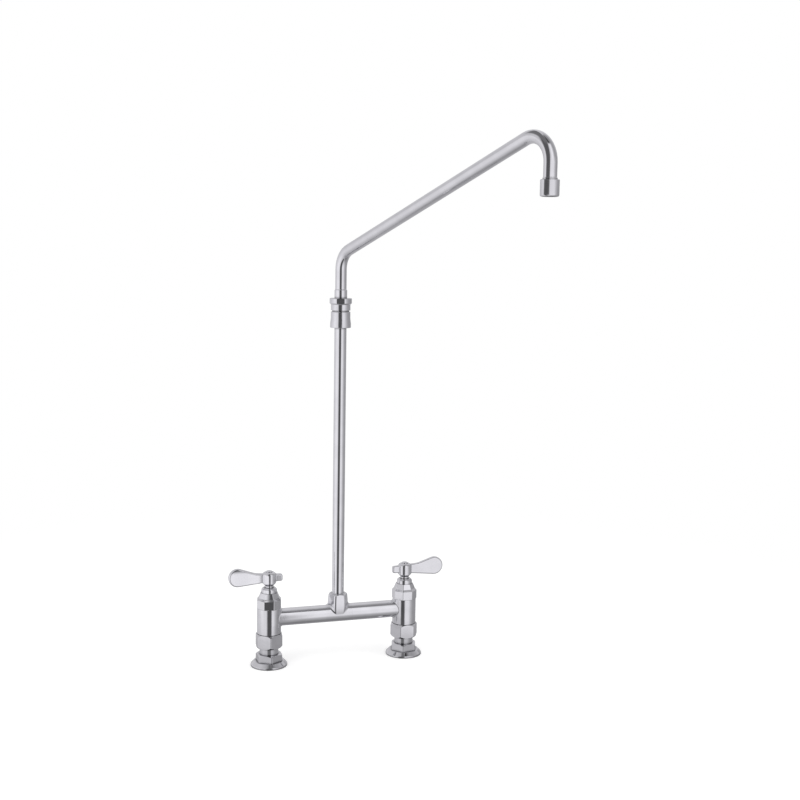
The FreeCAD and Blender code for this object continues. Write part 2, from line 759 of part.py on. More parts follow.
def bonnet(side):
    body = stand(piece(side + "_bonnet"), side)
    bind(body, "Placement.Rotation.Angle", side + "_bonnet_turn")
    polygon_loft(body, "Octagon", 8, "bonnet_corner_round", [
        ("bonnet_across", "body_top"), ("bonnet_across", "collar_top"),
        ("bonnet_shoulder_across", "shoulder_top"), ("bonnet_taper_across", "taper_top")], True)
    thread = "bonnet_thread / 2"
    groove = "bonnet_thread / 2 + thread_gap - 2 * ring_gap - bonnet_seal_section"
    crown = "bonnet_ring_diameter / 2"
    turned(body, "ThreadAndCrown", [
        ("0", "bonnet_low"), (thread, "bonnet_low"), (thread, "body_top - bonnet_groove_height"),
        (groove, "body_top - bonnet_groove_height"), (groove, "taper_top - overlap"),
        (crown, "taper_top - overlap"), (crown, "bonnet_top"), ("0", "bonnet_top")])
    rounded(body, "CrownRound", "bonnet_ring_round", on_rings((crown, "bonnet_top")))
    barrel = "barrel_diameter / 2 + thread_gap"
    relief = "bonnet_relief / 2"
    turned(body, "Bores", [
        ("0", "bonnet_low"), (barrel, "bonnet_low"), (barrel, "barrel_top"), ("clip_room", "barrel_top"),
        ("clip_room", "neck_top + clip_clearance"), (relief, "neck_top + clip_clearance"),
        (relief, "bonnet_top - bonnet_guide"), ("guide_bore", "bonnet_top - bonnet_guide"),
        ("guide_bore", "bonnet_top"), ("0", "bonnet_top")], "Groove")


def lever_sketch(body):
    """The side view of the lever and its stub, in the XZ plane."""
    drawn = sketch(body, "LeverProfile")
    root_low = number("handle_low + lever_root_low")
    root_high = number("handle_low + lever_root_high")
    middle = Vector(number("lever_tip_reach"), number("handle_low + lever_tip_rise"), 0)
    tip = number("lever_tip_radius")
    bend = number("lever_bend")
    flare = math.radians(number("lever_flare_slope"))
    slope = math.radians(number("lever_root_slope"))
    stub_low = Vector(-number("stub_reach"), number("handle_low + stub_low"), 0)
    stub_high = Vector(-number("stub_reach"), number("handle_low + stub_high"), 0)
    foot = Vector(0, root_low, 0)
    head = Vector(0, root_high, 0)
    reach = middle - foot
    below = math.atan2(reach.y, reach.x) - math.asin(tip / reach.Length) - math.pi / 2
    touch_low = middle + Vector(math.cos(below), math.sin(below), 0) * tip
    above = math.pi / 2 + flare
    touch_high = middle + Vector(math.cos(above), math.sin(above), 0) * tip
    span = (touch_high.y - head.y - math.tan(flare) * touch_high.x) / (math.tan(slope) - math.tan(flare))
    knee = head + Vector(span, span * math.tan(slope), 0)
    set_back = bend * math.tan((flare - slope) / 2)
    inner = knee - Vector(math.cos(slope), math.sin(slope), 0) * set_back
    outer = knee + Vector(math.cos(flare), math.sin(flare), 0) * set_back
    hollow = inner + Vector(-math.sin(slope), math.cos(slope), 0) * bend
    up = Vector(0, 0, 1)
    drawn.addGeometry(Part.LineSegment(stub_low, foot))
    drawn.addGeometry(Part.LineSegment(foot, touch_low))
    drawn.addGeometry(Part.ArcOfCircle(Part.Circle(middle, up, tip), below, above))
    drawn.addGeometry(Part.LineSegment(touch_high, outer))
    drawn.addGeometry(Part.ArcOfCircle(Part.Circle(hollow, up, bend), slope - math.pi / 2,
                                       flare - math.pi / 2))
    drawn.addGeometry(Part.LineSegment(inner, head))
    drawn.addGeometry(Part.LineSegment(head, stub_high))
    drawn.addGeometry(Part.LineSegment(stub_high, stub_low))
    join(drawn, 0, 2, 1, 1)
    join(drawn, 1, 2, 2, 1, "Tangent")
    join(drawn, 2, 2, 3, 1, "Tangent")
    join(drawn, 3, 2, 4, 2, "Tangent")
    join(drawn, 4, 1, 5, 1, "Tangent")
    join(drawn, 5, 2, 6, 1)
    join(drawn, 6, 2, 7, 1)
    join(drawn, 7, 2, 0, 1)
    pin(drawn, 0, 1, "-stub_reach", "handle_low + stub_low")
    pin(drawn, 0, 2, "0", "handle_low + lever_root_low")
    pin(drawn, 2, 3, "lever_tip_reach", "handle_low + lever_tip_rise")
    pin(drawn, 5, 2, "0", "handle_low + lever_root_high")
    pin(drawn, 6, 2, "-stub_reach", "handle_low + stub_high")
    measure(drawn, Sketcher.Constraint("Radius", 2, tip), "lever_tip_radius")
    measure(drawn, Sketcher.Constraint("Radius", 4, bend), "lever_bend")
    measure(drawn, Sketcher.Constraint("Angle", -1, 1, 3, 2, flare), "lever_flare_slope * 1 deg")
    measure(drawn, Sketcher.Constraint("Angle", -1, 1, 5, 2, slope), "lever_root_slope * 1 deg")
    return drawn


def handle(side):
    body = stand(piece(side + "_handle"), side)
    neck = "handle_neck / 2"
    waist = "handle_low + handle_neck_height"
    hub = "hub_diameter / 2"
    turned(body, "HubBlock", [("0", "handle_low"), (neck, "handle_low"), (neck, waist),
                              (hub, waist + " + handle_flare"), (hub, "handle_top"), ("0", "handle_top")])
    rounded(body, "Dome", "handle_dome", on_rings((hub, "handle_top")))
    pad = body.newObject("PartDesign::Pad", "Lever")
    pad.Profile = lever_sketch(body)
    pad.Midplane = True
    bind(pad, "Length", "lever_thickness")
    end = -number("stub_reach")
    rounded(body, "StubRound", "stub_round", lambda edge: abs(edge.CenterOfMass.x - end) < 0.001
            and abs(edge.CenterOfMass.y) < 0.001)
    face = number("lever_thickness / 2")
    clear = number(hub)
    rounded(body, "LeverRound", "lever_edge_round",
            lambda edge: abs(abs(edge.CenterOfMass.y) - face) < 0.001 and abs(edge.CenterOfMass.x) > clear)
    rounded(body, "LeverRoots", "lever_root_round",
            lambda edge: isinstance(edge.Curve, Part.Line)
            and abs(abs(edge.CenterOfMass.y) - face) < 0.001
            and abs(math.hypot(edge.CenterOfMass.x, edge.CenterOfMass.y) - clear) < 0.001)
    turned(body, "Bores", [
        ("0", "handle_low"), ("guide_bore", "handle_low"), ("guide_bore", "square_low"),
        ("0", "square_low")], "Groove")
    block(body, "Broach", "square_across + 2 * slip_gap", "square_across + 2 * slip_gap",
          "square_low - overlap", "square_top + slip_gap", "SubtractiveBox")
    screw = "screw_diameter / 2 + thread_gap"
    head = "screw_head_diameter / 2 + screw_head_gap"
    cap = "cap_diameter / 2 + slip_gap"
    turned(body, "ScrewWell", [
        ("0", "square_top - overlap"), (screw, "square_top - overlap"), (screw, "web_top"),
        (head, "web_top"), (head, "cap_low"), (cap, "cap_low"), (cap, "handle_top"),
        ("0", "handle_top")], "Groove")


def handle_screw(side):
    body = stand(piece(side + "_handle_screw"), side)
    shank = "screw_diameter / 2"
    head = "screw_head_diameter / 2"
    end = "square_top - screw_length + screw_end_gap"
    turned(body, "Screw", [
        ("0", end), (shank, end), (shank, "web_top"), (head, "web_top"),
        (head, "web_top + screw_head_height"), ("0", "web_top + screw_head_height")])
    polygon_block(body, "HexSocket", 6, "screw_socket_across",
                  "web_top + screw_head_height - screw_socket_depth", "screw_socket_depth", "0",
                  "SubtractivePrism")


def index_cap(side):
    body = stand(piece(side + "_index_cap"), side)
    turned(body, "Cap", ring("0", "cap_diameter / 2", "cap_low", "cap_low + cap_height"))
    rounded(body, "CapRound", "cap_round", on_rings(("cap_diameter / 2", "cap_low + cap_height")))


for side, swing in (("hot", 1), ("cold", -1)):
    inlet_flange(side)
    union_tailpiece(side)
    union_washer(side)
    union_nut(side)
    valve_body(side)
    cartridge_seal(side)
    cartridge_body(side, swing)
    fixed_disc(side)
    moving_disc(side)
    spindle(side)
    spindle_rings(side)
    spindle_clip(side)
    bonnet_seal(side)
    bonnet(side)
    handle(side)
    handle_screw(side)
    index_cap(side)


# Bridge, drawn along Z and laid along X

def bridge_tube(side):
    body = piece(side + "_bridge_tube")
    body.Placement = Placement(Vector(), Rotation(Vector(0, 1, 0), -90 if side == "hot" else 90))
    bind(body, "Placement.Base.z", "bridge_height")
    bore = "bridge_bore / 2"
    spigot = "spigot_diameter / 2"
    near = "tee_reach"
    far = "inlet_centres / 2 - branch_reach"
    turned(body, "Tube", [
        (bore, near + " - spigot_length"), (spigot, near + " - spigot_length"), (spigot, near),
        ("bridge_diameter / 2", near), ("bridge_diameter / 2", far), (spigot, far),
        (spigot, far + " + spigot_length"), (bore, far + " + spigot_length")])


def outlet_tee():
    body = piece("outlet_tee")
    rod_across(body, "Run", "bridge_diameter / 2", "-tee_reach", "2 * tee_reach", "bridge_height")
    polygon_loft(body, "Boss", 6, "boss_corner_round", [
        ("boss_across", "bridge_height"), ("boss_waist_across", "bridge_height + bridge_diameter / 2"),
        ("boss_across", "boss_top")], False)
    run = number("bridge_diameter / 2")
    middle = number("bridge_height")
    rounded(body, "BossRoot", "boss_root_round",
            lambda edge: not isinstance(edge.Curve, (Part.Circle, Part.Line))
            and all(abs(math.hypot(edge.valueAt(end).y, edge.valueAt(end).z - middle) - run) < 0.01
                    for end in (edge.FirstParameter, edge.LastParameter)))
    corners_cut(body, "BossTop", 6, "boss_across", "boss_top", "-boss_chamfer")
    rod_across(body, "CrossBore", "bridge_bore / 2", "-tee_reach", "2 * tee_reach", "bridge_height",
               "SubtractiveCylinder")
    for name, start in (("HotSocket", "-tee_reach"), ("ColdSocket", "tee_reach - spigot_length")):
        rod_across(body, name, "spigot_diameter / 2 + slip_gap", start, "spigot_length", "bridge_height",
                   "SubtractiveCylinder")
    turned(body, "Bores", [
        ("0", "bridge_height"), ("riser_bore / 2", "bridge_height"), ("riser_bore / 2", "riser_low"),
        ("riser_diameter / 2 + slip_gap", "riser_low"), ("riser_diameter / 2 + slip_gap", "boss_top"),
        ("0", "boss_top")], "Groove")


def riser_pipe():
    body = piece("riser_pipe")
    turned(body, "Pipe", ring("riser_bore / 2", "riser_diameter / 2", "riser_low", "riser_top"))


# Swivel on top of the riser

def swivel_body():
    body = piece("swivel_body")
    foot = "swivel_ring_diameter / 2"
    grip = "swivel_diameter / 2"
    groove = "swivel_groove_diameter / 2"
    thread = "swivel_thread / 2"
    turned(body, "Outside", [
        ("0", "swivel_low"), (foot, "swivel_low"), (foot, "swivel_low + swivel_ring_height"),
        (grip, "swivel_low + swivel_ring_height + swivel_taper"), (grip, "swivel_shoulder"),
        (groove, "swivel_shoulder"), (groove, "swivel_thread_low"), (thread, "swivel_thread_low"),
        (thread, "swivel_top"), ("0", "swivel_top")])
    rounded(body, "Rounds", "swivel_round", on_rings((foot, "swivel_low"), (grip, "swivel_shoulder")))
    turned(body, "Bores", [
        ("0", "swivel_low"), ("riser_diameter / 2 + slip_gap", "swivel_low"),
        ("riser_diameter / 2 + slip_gap", "riser_top"), ("riser_bore / 2", "riser_top"),
        ("riser_bore / 2", "ferrule_seat"), ("bore_radius", "ferrule_seat"),
        ("bore_radius", "swivel_top"), ("0", "swivel_top")], "Groove")


def swivel_nut():
    body = piece("swivel_nut")
    grip = "swivel_diameter / 2"
    crown = "nut_crown_diameter / 2"
    turned(body, "Outside", [
        ("0", "swivel_thread_low"), (grip, "swivel_thread_low"),
        (grip, "swivel_thread_low + nut_grip_height"), (crown, "crown_low"), (crown, "crown_top"),
        ("0", "crown_top")])
    rounded(body, "Rounds", "nut_crown_round", on_rings((crown, "crown_low"), (crown, "crown_top")))
    flat = "nut_crown_diameter / 2 - nut_flat_depth"
    for k, name in enumerate(("BackFlat", "FrontFlat")):
        waste = outline(body, name + "Outline", [
            ("-" + crown, flat), (crown, flat), (crown, crown), ("-" + crown, crown)], "XY_Plane",
            "crown_top")
        turn_about(waste, Vector(0, 0, 1), "%d - nut_flat_turn" % (180 * k))
        pocket = body.newObject("PartDesign::Pocket", name)
        pocket.Profile = waste
        bind(pocket, "Length", "nut_crown_height + nut_flare")
    thread = "swivel_thread / 2 + thread_gap"
    throat = "ferrule_diameter / 2 + nut_throat_gap"
    turned(body, "Bores", [
        ("0", "swivel_thread_low"), (thread, "swivel_thread_low"), (thread, "nut_throat"),
        (throat, "nut_throat"), (throat, "crown_top"), ("0", "crown_top")], "Groove")


def bearing_ring():
    body = piece("swivel_bearing_ring")
    turned(body, "Ring", ring("ferrule_diameter / 2 + nut_throat_gap", "swivel_thread / 2", "swivel_top",
                              "snap_low"))


# Spout. It is drawn with its arm along +X and then swung about the riser.

def swing_out(body):
    bind(body, "Placement.Rotation.Angle", "270 + spout_turn")
    return body


def swivel_rings():
    body = swing_out(piece("swivel_orings"))
    for k in range(2):
        torus(body, "Ring%d" % k, "seal_groove", "swivel_ring_section",
              "ferrule_low + swivel_ring_first + %d * swivel_ring_pitch" % k)


def snap_ring():
    body = swing_out(piece("spout_snap_ring"))
    turned(body, "Ring", ring("ferrule_diameter / 2 - snap_ring_depth + slip_gap", "snap_ring_diameter / 2",
                              "snap_low", "snap_top"), spread="360 - snap_ring_opening", middle="180")


def spout_ferrule():
    body = swing_out(piece("spout_ferrule"))
    wall = "ferrule_diameter / 2"
    turned(body, "Sleeve", ring("ferrule_bore / 2", wall, "ferrule_low", "ferrule_top"))
    rounded(body, "TopRound", "ferrule_round", on_rings((wall, "ferrule_top")))
    for k in range(2):
        middle = "ferrule_low + swivel_ring_first + %d * swivel_ring_pitch" % k
        half = "swivel_ring_section / 2 + ring_gap"
        turned(body, "RingGroove%d" % k, ring("seal_groove - ring_gap", wall + " + overlap",
                                              "%s - (%s)" % (middle, half),
                                              "%s + %s" % (middle, half)), "Groove")
    turned(body, "SnapGroove", ring(wall + " - snap_ring_depth", wall + " + overlap", "snap_low",
                                    "snap_top"), "Groove")
    turned(body, "TubeSocket", ring("0", "tube_diameter / 2 + slip_gap", "tube_low", "ferrule_top"),
           "Groove")


def spout_path(body):
    """The centreline of the tube: up, bend, sloping arm, bend, down to the outlet."""
    drawn = sketch(body, "Path")
    slope = math.radians(number("spout_slope"))
    low = number("lower_bend")
    high = number("upper_bend")
    up = Vector(0, 0, 1)
    rise = Vector(math.cos(slope), math.sin(slope), 0)
    start = Vector(0, number("tube_low"), 0)
    bend_start = start + Vector(0, number("spout_stub"), 0)
    low_middle = bend_start + Vector(low, 0, 0)
    arm_low = low_middle + Vector(-rise.y, rise.x, 0) * low
    drop_top = Vector(number("spout_reach"), number("tube_end + spout_drop"), 0)
    high_middle = drop_top - Vector(high, 0, 0)
    arm_high = high_middle + Vector(-rise.y, rise.x, 0) * high
    drawn.addGeometry(Part.LineSegment(start, bend_start))
    drawn.addGeometry(Part.ArcOfCircle(Part.Circle(low_middle, up, low), math.pi / 2 + slope, math.pi))
    drawn.addGeometry(Part.LineSegment(arm_low, arm_high))
    drawn.addGeometry(Part.ArcOfCircle(Part.Circle(high_middle, up, high), 0, math.pi / 2 + slope))
    drawn.addGeometry(Part.LineSegment(drop_top, drop_top - Vector(0, number("spout_drop"), 0)))
    join(drawn, 0, 2, 1, 2, "Tangent")
    join(drawn, 1, 1, 2, 1, "Tangent")
    join(drawn, 2, 2, 3, 2, "Tangent")
    join(drawn, 3, 1, 4, 1, "Tangent")
    drawn.addConstraint(Sketcher.Constraint("Vertical", 0))
    drawn.addConstraint(Sketcher.Constraint("Vertical", 4))
    pin(drawn, 0, 1, "0", "tube_low")
    measure(drawn, Sketcher.Constraint("DistanceY", 0, 1, 0, 2, number("spout_stub")), "spout_stub")
    measure(drawn, Sketcher.Constraint("DistanceY", 4, 2, 4, 1, number("spout_drop")), "spout_drop")
    measure(drawn, Sketcher.Constraint("DistanceX", -1, 1, 4, 1, drop_top.x), "spout_reach")
    measure(drawn, Sketcher.Constraint("Radius", 1, low), "lower_bend")
    measure(drawn, Sketcher.Constraint("Radius", 3, high), "upper_bend")
    measure(drawn, Sketcher.Constraint("Angle", -1, 1, 2, 1, slope), "spout_slope * 1 deg")
    return drawn


def spout_tube():
    body = swing_out(piece("spout_tube"))
    path = spout_path(body)
    for name, kind, radius in (("Tube", "AdditivePipe", "tube_diameter / 2"),
                               ("Waterway", "SubtractivePipe", "tube_diameter / 2 - tube_wall")):
        profile = sketch(body, name + "Profile", "XY_Plane", "tube_low")
        profile.addGeometry(Part.Circle(Vector(), Vector(0, 0, 1), number(radius)))
        join(profile, 0, 3, -1, 1)
        measure(profile, Sketcher.Constraint("Radius", 0, number(radius)), radius)
        pipe = body.newObject("PartDesign::" + kind, name)
        pipe.Profile = profile
        pipe.Spine = (path, ["Edge%d" % (k + 1) for k in range(5)])


def at_outlet(body):
    """Carries a piece that is drawn on the Z axis out to the end of the arm."""
    bind(body, "Placement.Rotation.Angle", "270 + spout_turn")
    bind(body, "Placement.Base.x", "spout_reach * sin(spout_turn)")
    bind(body, "Placement.Base.y", "-spout_reach * cos(spout_turn)")
    return body


def outlet_collar():
    body = at_outlet(piece("outlet_collar"))
    outside = "collar_diameter / 2"
    thread = "collar_thread / 2"
    socket = "tube_diameter / 2 + slip_gap"
    turned(body, "Collar", [
        ("collar_bore / 2", "thread_end"), (thread, "thread_end"), (thread, "thread_top"),
        (outside, "thread_top"), (outside, "thread_top + collar_show"),
        (socket, "thread_top + collar_show"), (socket, "tube_end"), ("collar_bore / 2", "tube_end")])


def aerator_housing():
    body = at_outlet(piece("aerator_housing"))
    outside = "aerator_diameter / 2"
    thread = "collar_thread / 2 + thread_gap"
    turned(body, "Shell", ring("0", outside, "aerator_low", "aerator_top"))
    rounded(body, "BottomRound", "aerator_bottom_round", on_rings((outside, "aerator_low")))
    rounded(body, "TopRound", "aerator_top_round", on_rings((outside, "aerator_top")))
    turned(body, "Bores", [
        ("0", "aerator_low"), ("aerator_mouth / 2", "aerator_low"), ("aerator_mouth / 2", "screen_low"),
        (thread, "screen_low"), (thread, "aerator_top"), ("0", "aerator_top")], "Groove")


def aerator_washer():
    body = at_outlet(piece("aerator_washer"))
    turned(body, "Washer", ring("aerator_washer_bore / 2", "insert_diameter / 2", "insert_top",
                                "thread_end"))


def aerator_insert():
    body = at_outlet(piece("aerator_insert"))
    turned(body, "Disc", ring("0", "insert_diameter / 2", "insert_low", "insert_top"))
    bored(body, "CentreHole", "insert_hole / 2", "insert_low", "insert_top")
    for name in ("inner", "outer"):
        hole = body.newObject("PartDesign::SubtractiveCylinder", name + "Hole")
        bind(hole, "Radius", "insert_hole / 2")
        bind(hole, "Height", "insert_top - insert_low")
        bind(hole, "Placement.Base.x", "insert_%s_circle / 2" % name)
        bind(hole, "Placement.Base.z", "insert_low")
        axis = next(feature for feature in body.Origin.OriginFeatures if feature.Role == "Z_Axis")
        ring_of_holes = body.newObject("PartDesign::PolarPattern", name + "Holes")
        ring_of_holes.Originals = [hole]
        ring_of_holes.Axis = (axis, [""])
        ring_of_holes.Angle = 360
        bind(ring_of_holes, "Occurrences", "insert_%s_holes" % name)
        body.Tip = ring_of_holes


def aerator_screen():
    body = at_outlet(piece("aerator_screen"))
    turned(body, "Disc", ring("0", "insert_diameter / 2", "screen_low", "insert_low"))
    hole = body.newObject("PartDesign::SubtractiveBox", "Hole")
    corner = "-(screen_rows - 1) / 2 * screen_pitch - screen_hole / 2"
    bind(hole, "Length", "screen_hole")
    bind(hole, "Width", "screen_hole")
    bind(hole, "Height", "screen_thickness")
    bind(hole, "Placement.Base.x", corner)
    bind(hole, "Placement.Base.y", corner)
    bind(hole, "Placement.Base.z", "screen_low")
    grid = body.newObject("PartDesign::MultiTransform", "Holes")
    grid.Originals = [hole]
    runs = []
    for role in ("X_Axis", "Y_Axis"):
        axis = next(feature for feature in body.Origin.OriginFeatures if feature.Role == role)
        run = body.newObject("PartDesign::LinearPattern", "Along" + role[0])
        run.Direction = (axis, [""])
        bind(run, "Occurrences", "screen_rows")
        bind(run, "Length", "(screen_rows - 1) * screen_pitch")
        runs.append(run)
    grid.Transformations = runs
    body.Tip = grid


bridge_tube("hot")
bridge_tube("cold")
outlet_tee()
riser_pipe()
swivel_body()
swivel_nut()
bearing_ring()
swivel_rings()
snap_ring()
spout_ferrule()
spout_tube()
outlet_collar()
aerator_housing()
aerator_washer()
aerator_insert()
aerator_screen()

# Every feature has to have worked before anything is written.

document.recompute()
faults = ["%s %s" % (thing.Label, thing.State) for thing in document.Objects
          if "Invalid" in thing.State or "Error" in thing.State]
for body in pieces:
    if body.Shape.isNull() or not body.Shape.isValid():
        faults.append(body.Label + " has no valid shape")
for thing in document.Objects:
    cuts = any(word in thing.TypeId for word in ("Groove", "Subtractive"))
    if cuts and thing.BaseFeature and not thing.Shape.isNull() and not thing.BaseFeature.Shape.isNull():
        if thing.Shape.Volume > thing.BaseFeature.Shape.Volume - 0.001:
            faults.append("%s %s cuts nothing" % (thing.getParentGeoFeatureGroup().Label, thing.Label))
if faults:
    raise RuntimeError("; ".join(faults))
for body in pieces:
    body.Shape.exportStep("parts/%s.step" % body.Label)
    print(body.Label, len(body.Shape.Solids), round(body.Shape.Volume, 1))
print(len(pieces), "pieces, aerator mouth at", round(number("aerator_low"), 1),
      "top of the arm at", round(number("tube_end + spout_drop + upper_bend + tube_diameter / 2"), 1))
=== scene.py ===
import json
import math
import bmesh
import bpy
from mathutils import Matrix, Vector


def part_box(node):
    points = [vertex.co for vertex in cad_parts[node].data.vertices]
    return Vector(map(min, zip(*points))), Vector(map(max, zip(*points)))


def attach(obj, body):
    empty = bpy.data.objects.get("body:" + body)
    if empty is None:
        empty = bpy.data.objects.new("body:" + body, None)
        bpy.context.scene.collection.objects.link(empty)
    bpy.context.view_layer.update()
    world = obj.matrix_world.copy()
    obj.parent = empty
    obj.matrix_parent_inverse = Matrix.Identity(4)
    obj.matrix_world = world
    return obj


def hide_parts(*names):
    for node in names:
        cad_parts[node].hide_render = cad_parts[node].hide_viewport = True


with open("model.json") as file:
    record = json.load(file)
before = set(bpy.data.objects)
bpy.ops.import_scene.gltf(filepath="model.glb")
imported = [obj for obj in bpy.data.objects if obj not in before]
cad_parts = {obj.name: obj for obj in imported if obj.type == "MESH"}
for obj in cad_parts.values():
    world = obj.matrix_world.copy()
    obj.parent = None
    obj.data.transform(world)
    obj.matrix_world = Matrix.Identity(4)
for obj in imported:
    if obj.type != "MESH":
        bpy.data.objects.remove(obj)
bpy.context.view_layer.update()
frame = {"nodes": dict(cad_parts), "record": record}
scene = bpy.context.scene
scene.view_settings.view_transform = "Standard"

columnSpacing = 0.2032  # from inlet to inlet
hotColumnX = -columnSpacing / 2


# Camera, at the photograph's viewing angle

cameraSetup = {
    "aim": (0.0821, -0.0257, 0.3842),  # the point at the picture's middle
    "distance": 1.7253,
    "yaw": 17.38,  # degrees to the left of straight ahead
    "pitch": 7.27,  # degrees downwards
    "roll": 0.94,
    "lens": 54.34,
    "sensor": 36.0,
}


def makeCamera():
    yaw, pitch, roll = (math.radians(cameraSetup[key]) for key in ("yaw", "pitch", "roll"))
    forward = Vector((math.sin(yaw) * math.cos(pitch), math.cos(yaw) * math.cos(pitch), -math.sin(pitch)))
    level = Vector((math.cos(yaw), -math.sin(yaw), 0))
    upright = level.cross(forward)
    right = level * math.cos(roll) + upright * math.sin(roll)
    up = upright * math.cos(roll) - level * math.sin(roll)
    data = bpy.data.cameras.new("camera")
    data.lens = cameraSetup["lens"]
    data.sensor_width = cameraSetup["sensor"]
    camera = bpy.data.objects.new("camera", data)
    place = Vector(cameraSetup["aim"]) - forward * cameraSetup["distance"]
    camera.matrix_world = Matrix.Translation(place) @ Matrix((right, up, -forward)).transposed().to_4x4()
    bpy.context.collection.objects.link(camera)
    scene.camera = camera


makeCamera()
print("camera is in place")


# Node helpers

def addNode(tree, kind, inputs=None, **settings):
    node = tree.nodes.new(kind)
    for key, value in settings.items():
        setattr(node, key, value)
    for key, value in (inputs or {}).items():
        if isinstance(value, bpy.types.NodeSocket):
            tree.links.new(value, node.inputs[key])
        else:
            node.inputs[key].default_value = value
    return node


def emptyTree(owner):
    owner.use_nodes = True
    owner.node_tree.nodes.clear()
    return owner.node_tree


def mathNode(tree, operation, first, second=0.0, third=0.0):
    return addNode(tree, "ShaderNodeMath", {0: first, 1: second, 2: third}, operation=operation).outputs[0]


def spread(tree, value, low, high, toLow=0.0, toHigh=1.0):
    inputs = {"Value": value, "From Min": low, "From Max": high, "To Min": toLow, "To Max": toHigh}
    return addNode(tree, "ShaderNodeMapRange", inputs, interpolation_type="SMOOTHSTEP").outputs[0]


def mixColours(tree, factor, first, second, blend="MIX"):
    inputs = {0: factor, 6: first, 7: second}
    return addNode(tree, "ShaderNodeMix", inputs, data_type="RGBA", blend_type=blend).outputs[2]


def noise(tree, where, scale, detail=2.0, roughness=0.5, distortion=0.0):
    inputs = {"Vector": where, "Scale": scale, "Detail": detail, "Roughness": roughness,
              "Distortion": distortion}
    return addNode(tree, "ShaderNodeTexNoise", inputs).outputs[0]


def grey(level, tint=(1.0, 1.0, 1.0)):
    return tuple(level * part for part in tint) + (1.0,)


# Studio: white surroundings, a pale floor, two soft lamps and the tent that the chrome mirrors

studio = {
    "worldForDiffuse": 0.82,
    "lamps": {"softLampLeft": (13.0, (-1.6, -1.3, 1.9)), "softLampRight": (7.0, (1.7, -0.9, 1.7))},
    "lampSize": 1.6,
    "lampsAim": (0.0, 0.0, 0.2),
    "floorGrey": 0.82,
    "floorGlow": 0.34,  # lifts the floor to white for the camera
    "floorFull": 0.45,  # radius up to which the floor is solid
    "floorGone": 1.05,  # radius at which it has melted into the white
    "floorReach": 1.10,
    "floorSides": 96,
    "floorRise": -0.0002,  # just under the flanges, so that no two faces lie in one plane
}


def makeWorld():
    world = bpy.data.worlds.new("whiteSurroundings")
    scene.world = world
    tree = emptyTree(world)
    path = addNode(tree, "ShaderNodeLightPath")
    seen = mathNode(tree, "ADD", path.outputs["Is Camera Ray"], path.outputs["Is Glossy Ray"])
    seen = mathNode(tree, "ADD", seen, path.outputs["Is Transmission Ray"])
    seen = mathNode(tree, "MINIMUM", seen, 1.0)
    rest = studio["worldForDiffuse"]
    strength = mathNode(tree, "MULTIPLY_ADD", seen, 1.0 - rest, rest)
    back = addNode(tree, "ShaderNodeBackground", {"Color": grey(1.0), "Strength": strength})
    addNode(tree, "ShaderNodeOutputWorld", {"Surface": back.outputs[0]})


def makeLamp(name, watts, place):
    data = bpy.data.lights.new(name, "AREA")
    data.energy = watts
    data.size = studio["lampSize"]
    lamp = bpy.data.objects.new(name, data)
    lamp.location = place
    lamp.rotation_euler = (Vector(studio["lampsAim"]) - Vector(place)).to_track_quat("-Z", "Y").to_euler()
    lamp.visible_glossy = False  # the chrome mirrors the tent, not the lamps
    bpy.context.collection.objects.link(lamp)


def meshPiece(name, points, faces, material, smooth=False):
    mesh = bpy.data.meshes.new(name)
    mesh.from_pydata(points, [], faces)
    mesh.polygons.foreach_set("use_smooth", [smooth] * len(mesh.polygons))
    mesh.materials.append(material)
    mesh.update()
    piece = bpy.data.objects.new(name, mesh)
    bpy.context.collection.objects.link(piece)
    return piece


def rimPoints(sides, radius, rise):
    turns = [2 * math.pi * index / sides for index in range(sides)]
    return [(radius * math.cos(turn), radius * math.sin(turn), rise) for turn in turns]


def floorMaterial():
    material = bpy.data.materials.new("paleFloor")
    tree = emptyTree(material)
    where = addNode(tree, "ShaderNodeTexCoord").outputs["Object"]
    distance = addNode(tree, "ShaderNodeVectorMath", {0: where}, operation="LENGTH").outputs["Value"]
    fade = spread(tree, distance, studio["floorFull"], studio["floorGone"])
    seen = addNode(tree, "ShaderNodeLightPath").outputs["Is Camera Ray"]
    glow = mathNode(tree, "MULTIPLY", seen, studio["floorGlow"])
    paint = addNode(tree, "ShaderNodeBsdfDiffuse", {"Color": grey(studio["floorGrey"])})
    shine = addNode(tree, "ShaderNodeEmission", {"Color": grey(1.0), "Strength": glow})
    solid = addNode(tree, "ShaderNodeAddShader", {0: paint.outputs[0], 1: shine.outputs[0]})
    clear = addNode(tree, "ShaderNodeBsdfTransparent")
    blend = addNode(tree, "ShaderNodeMixShader", {0: fade, 1: solid.outputs[0], 2: clear.outputs[0]})
    addNode(tree, "ShaderNodeOutputMaterial", {"Surface": blend.outputs[0]})
    return material


def makeFloor():
    rim = rimPoints(studio["floorSides"], studio["floorReach"], studio["floorRise"])
    floor = meshPiece("floor", rim, [tuple(range(len(rim)))], floorMaterial())
    floor.visible_glossy = False  # the chrome mirrors the tent's own pale ground


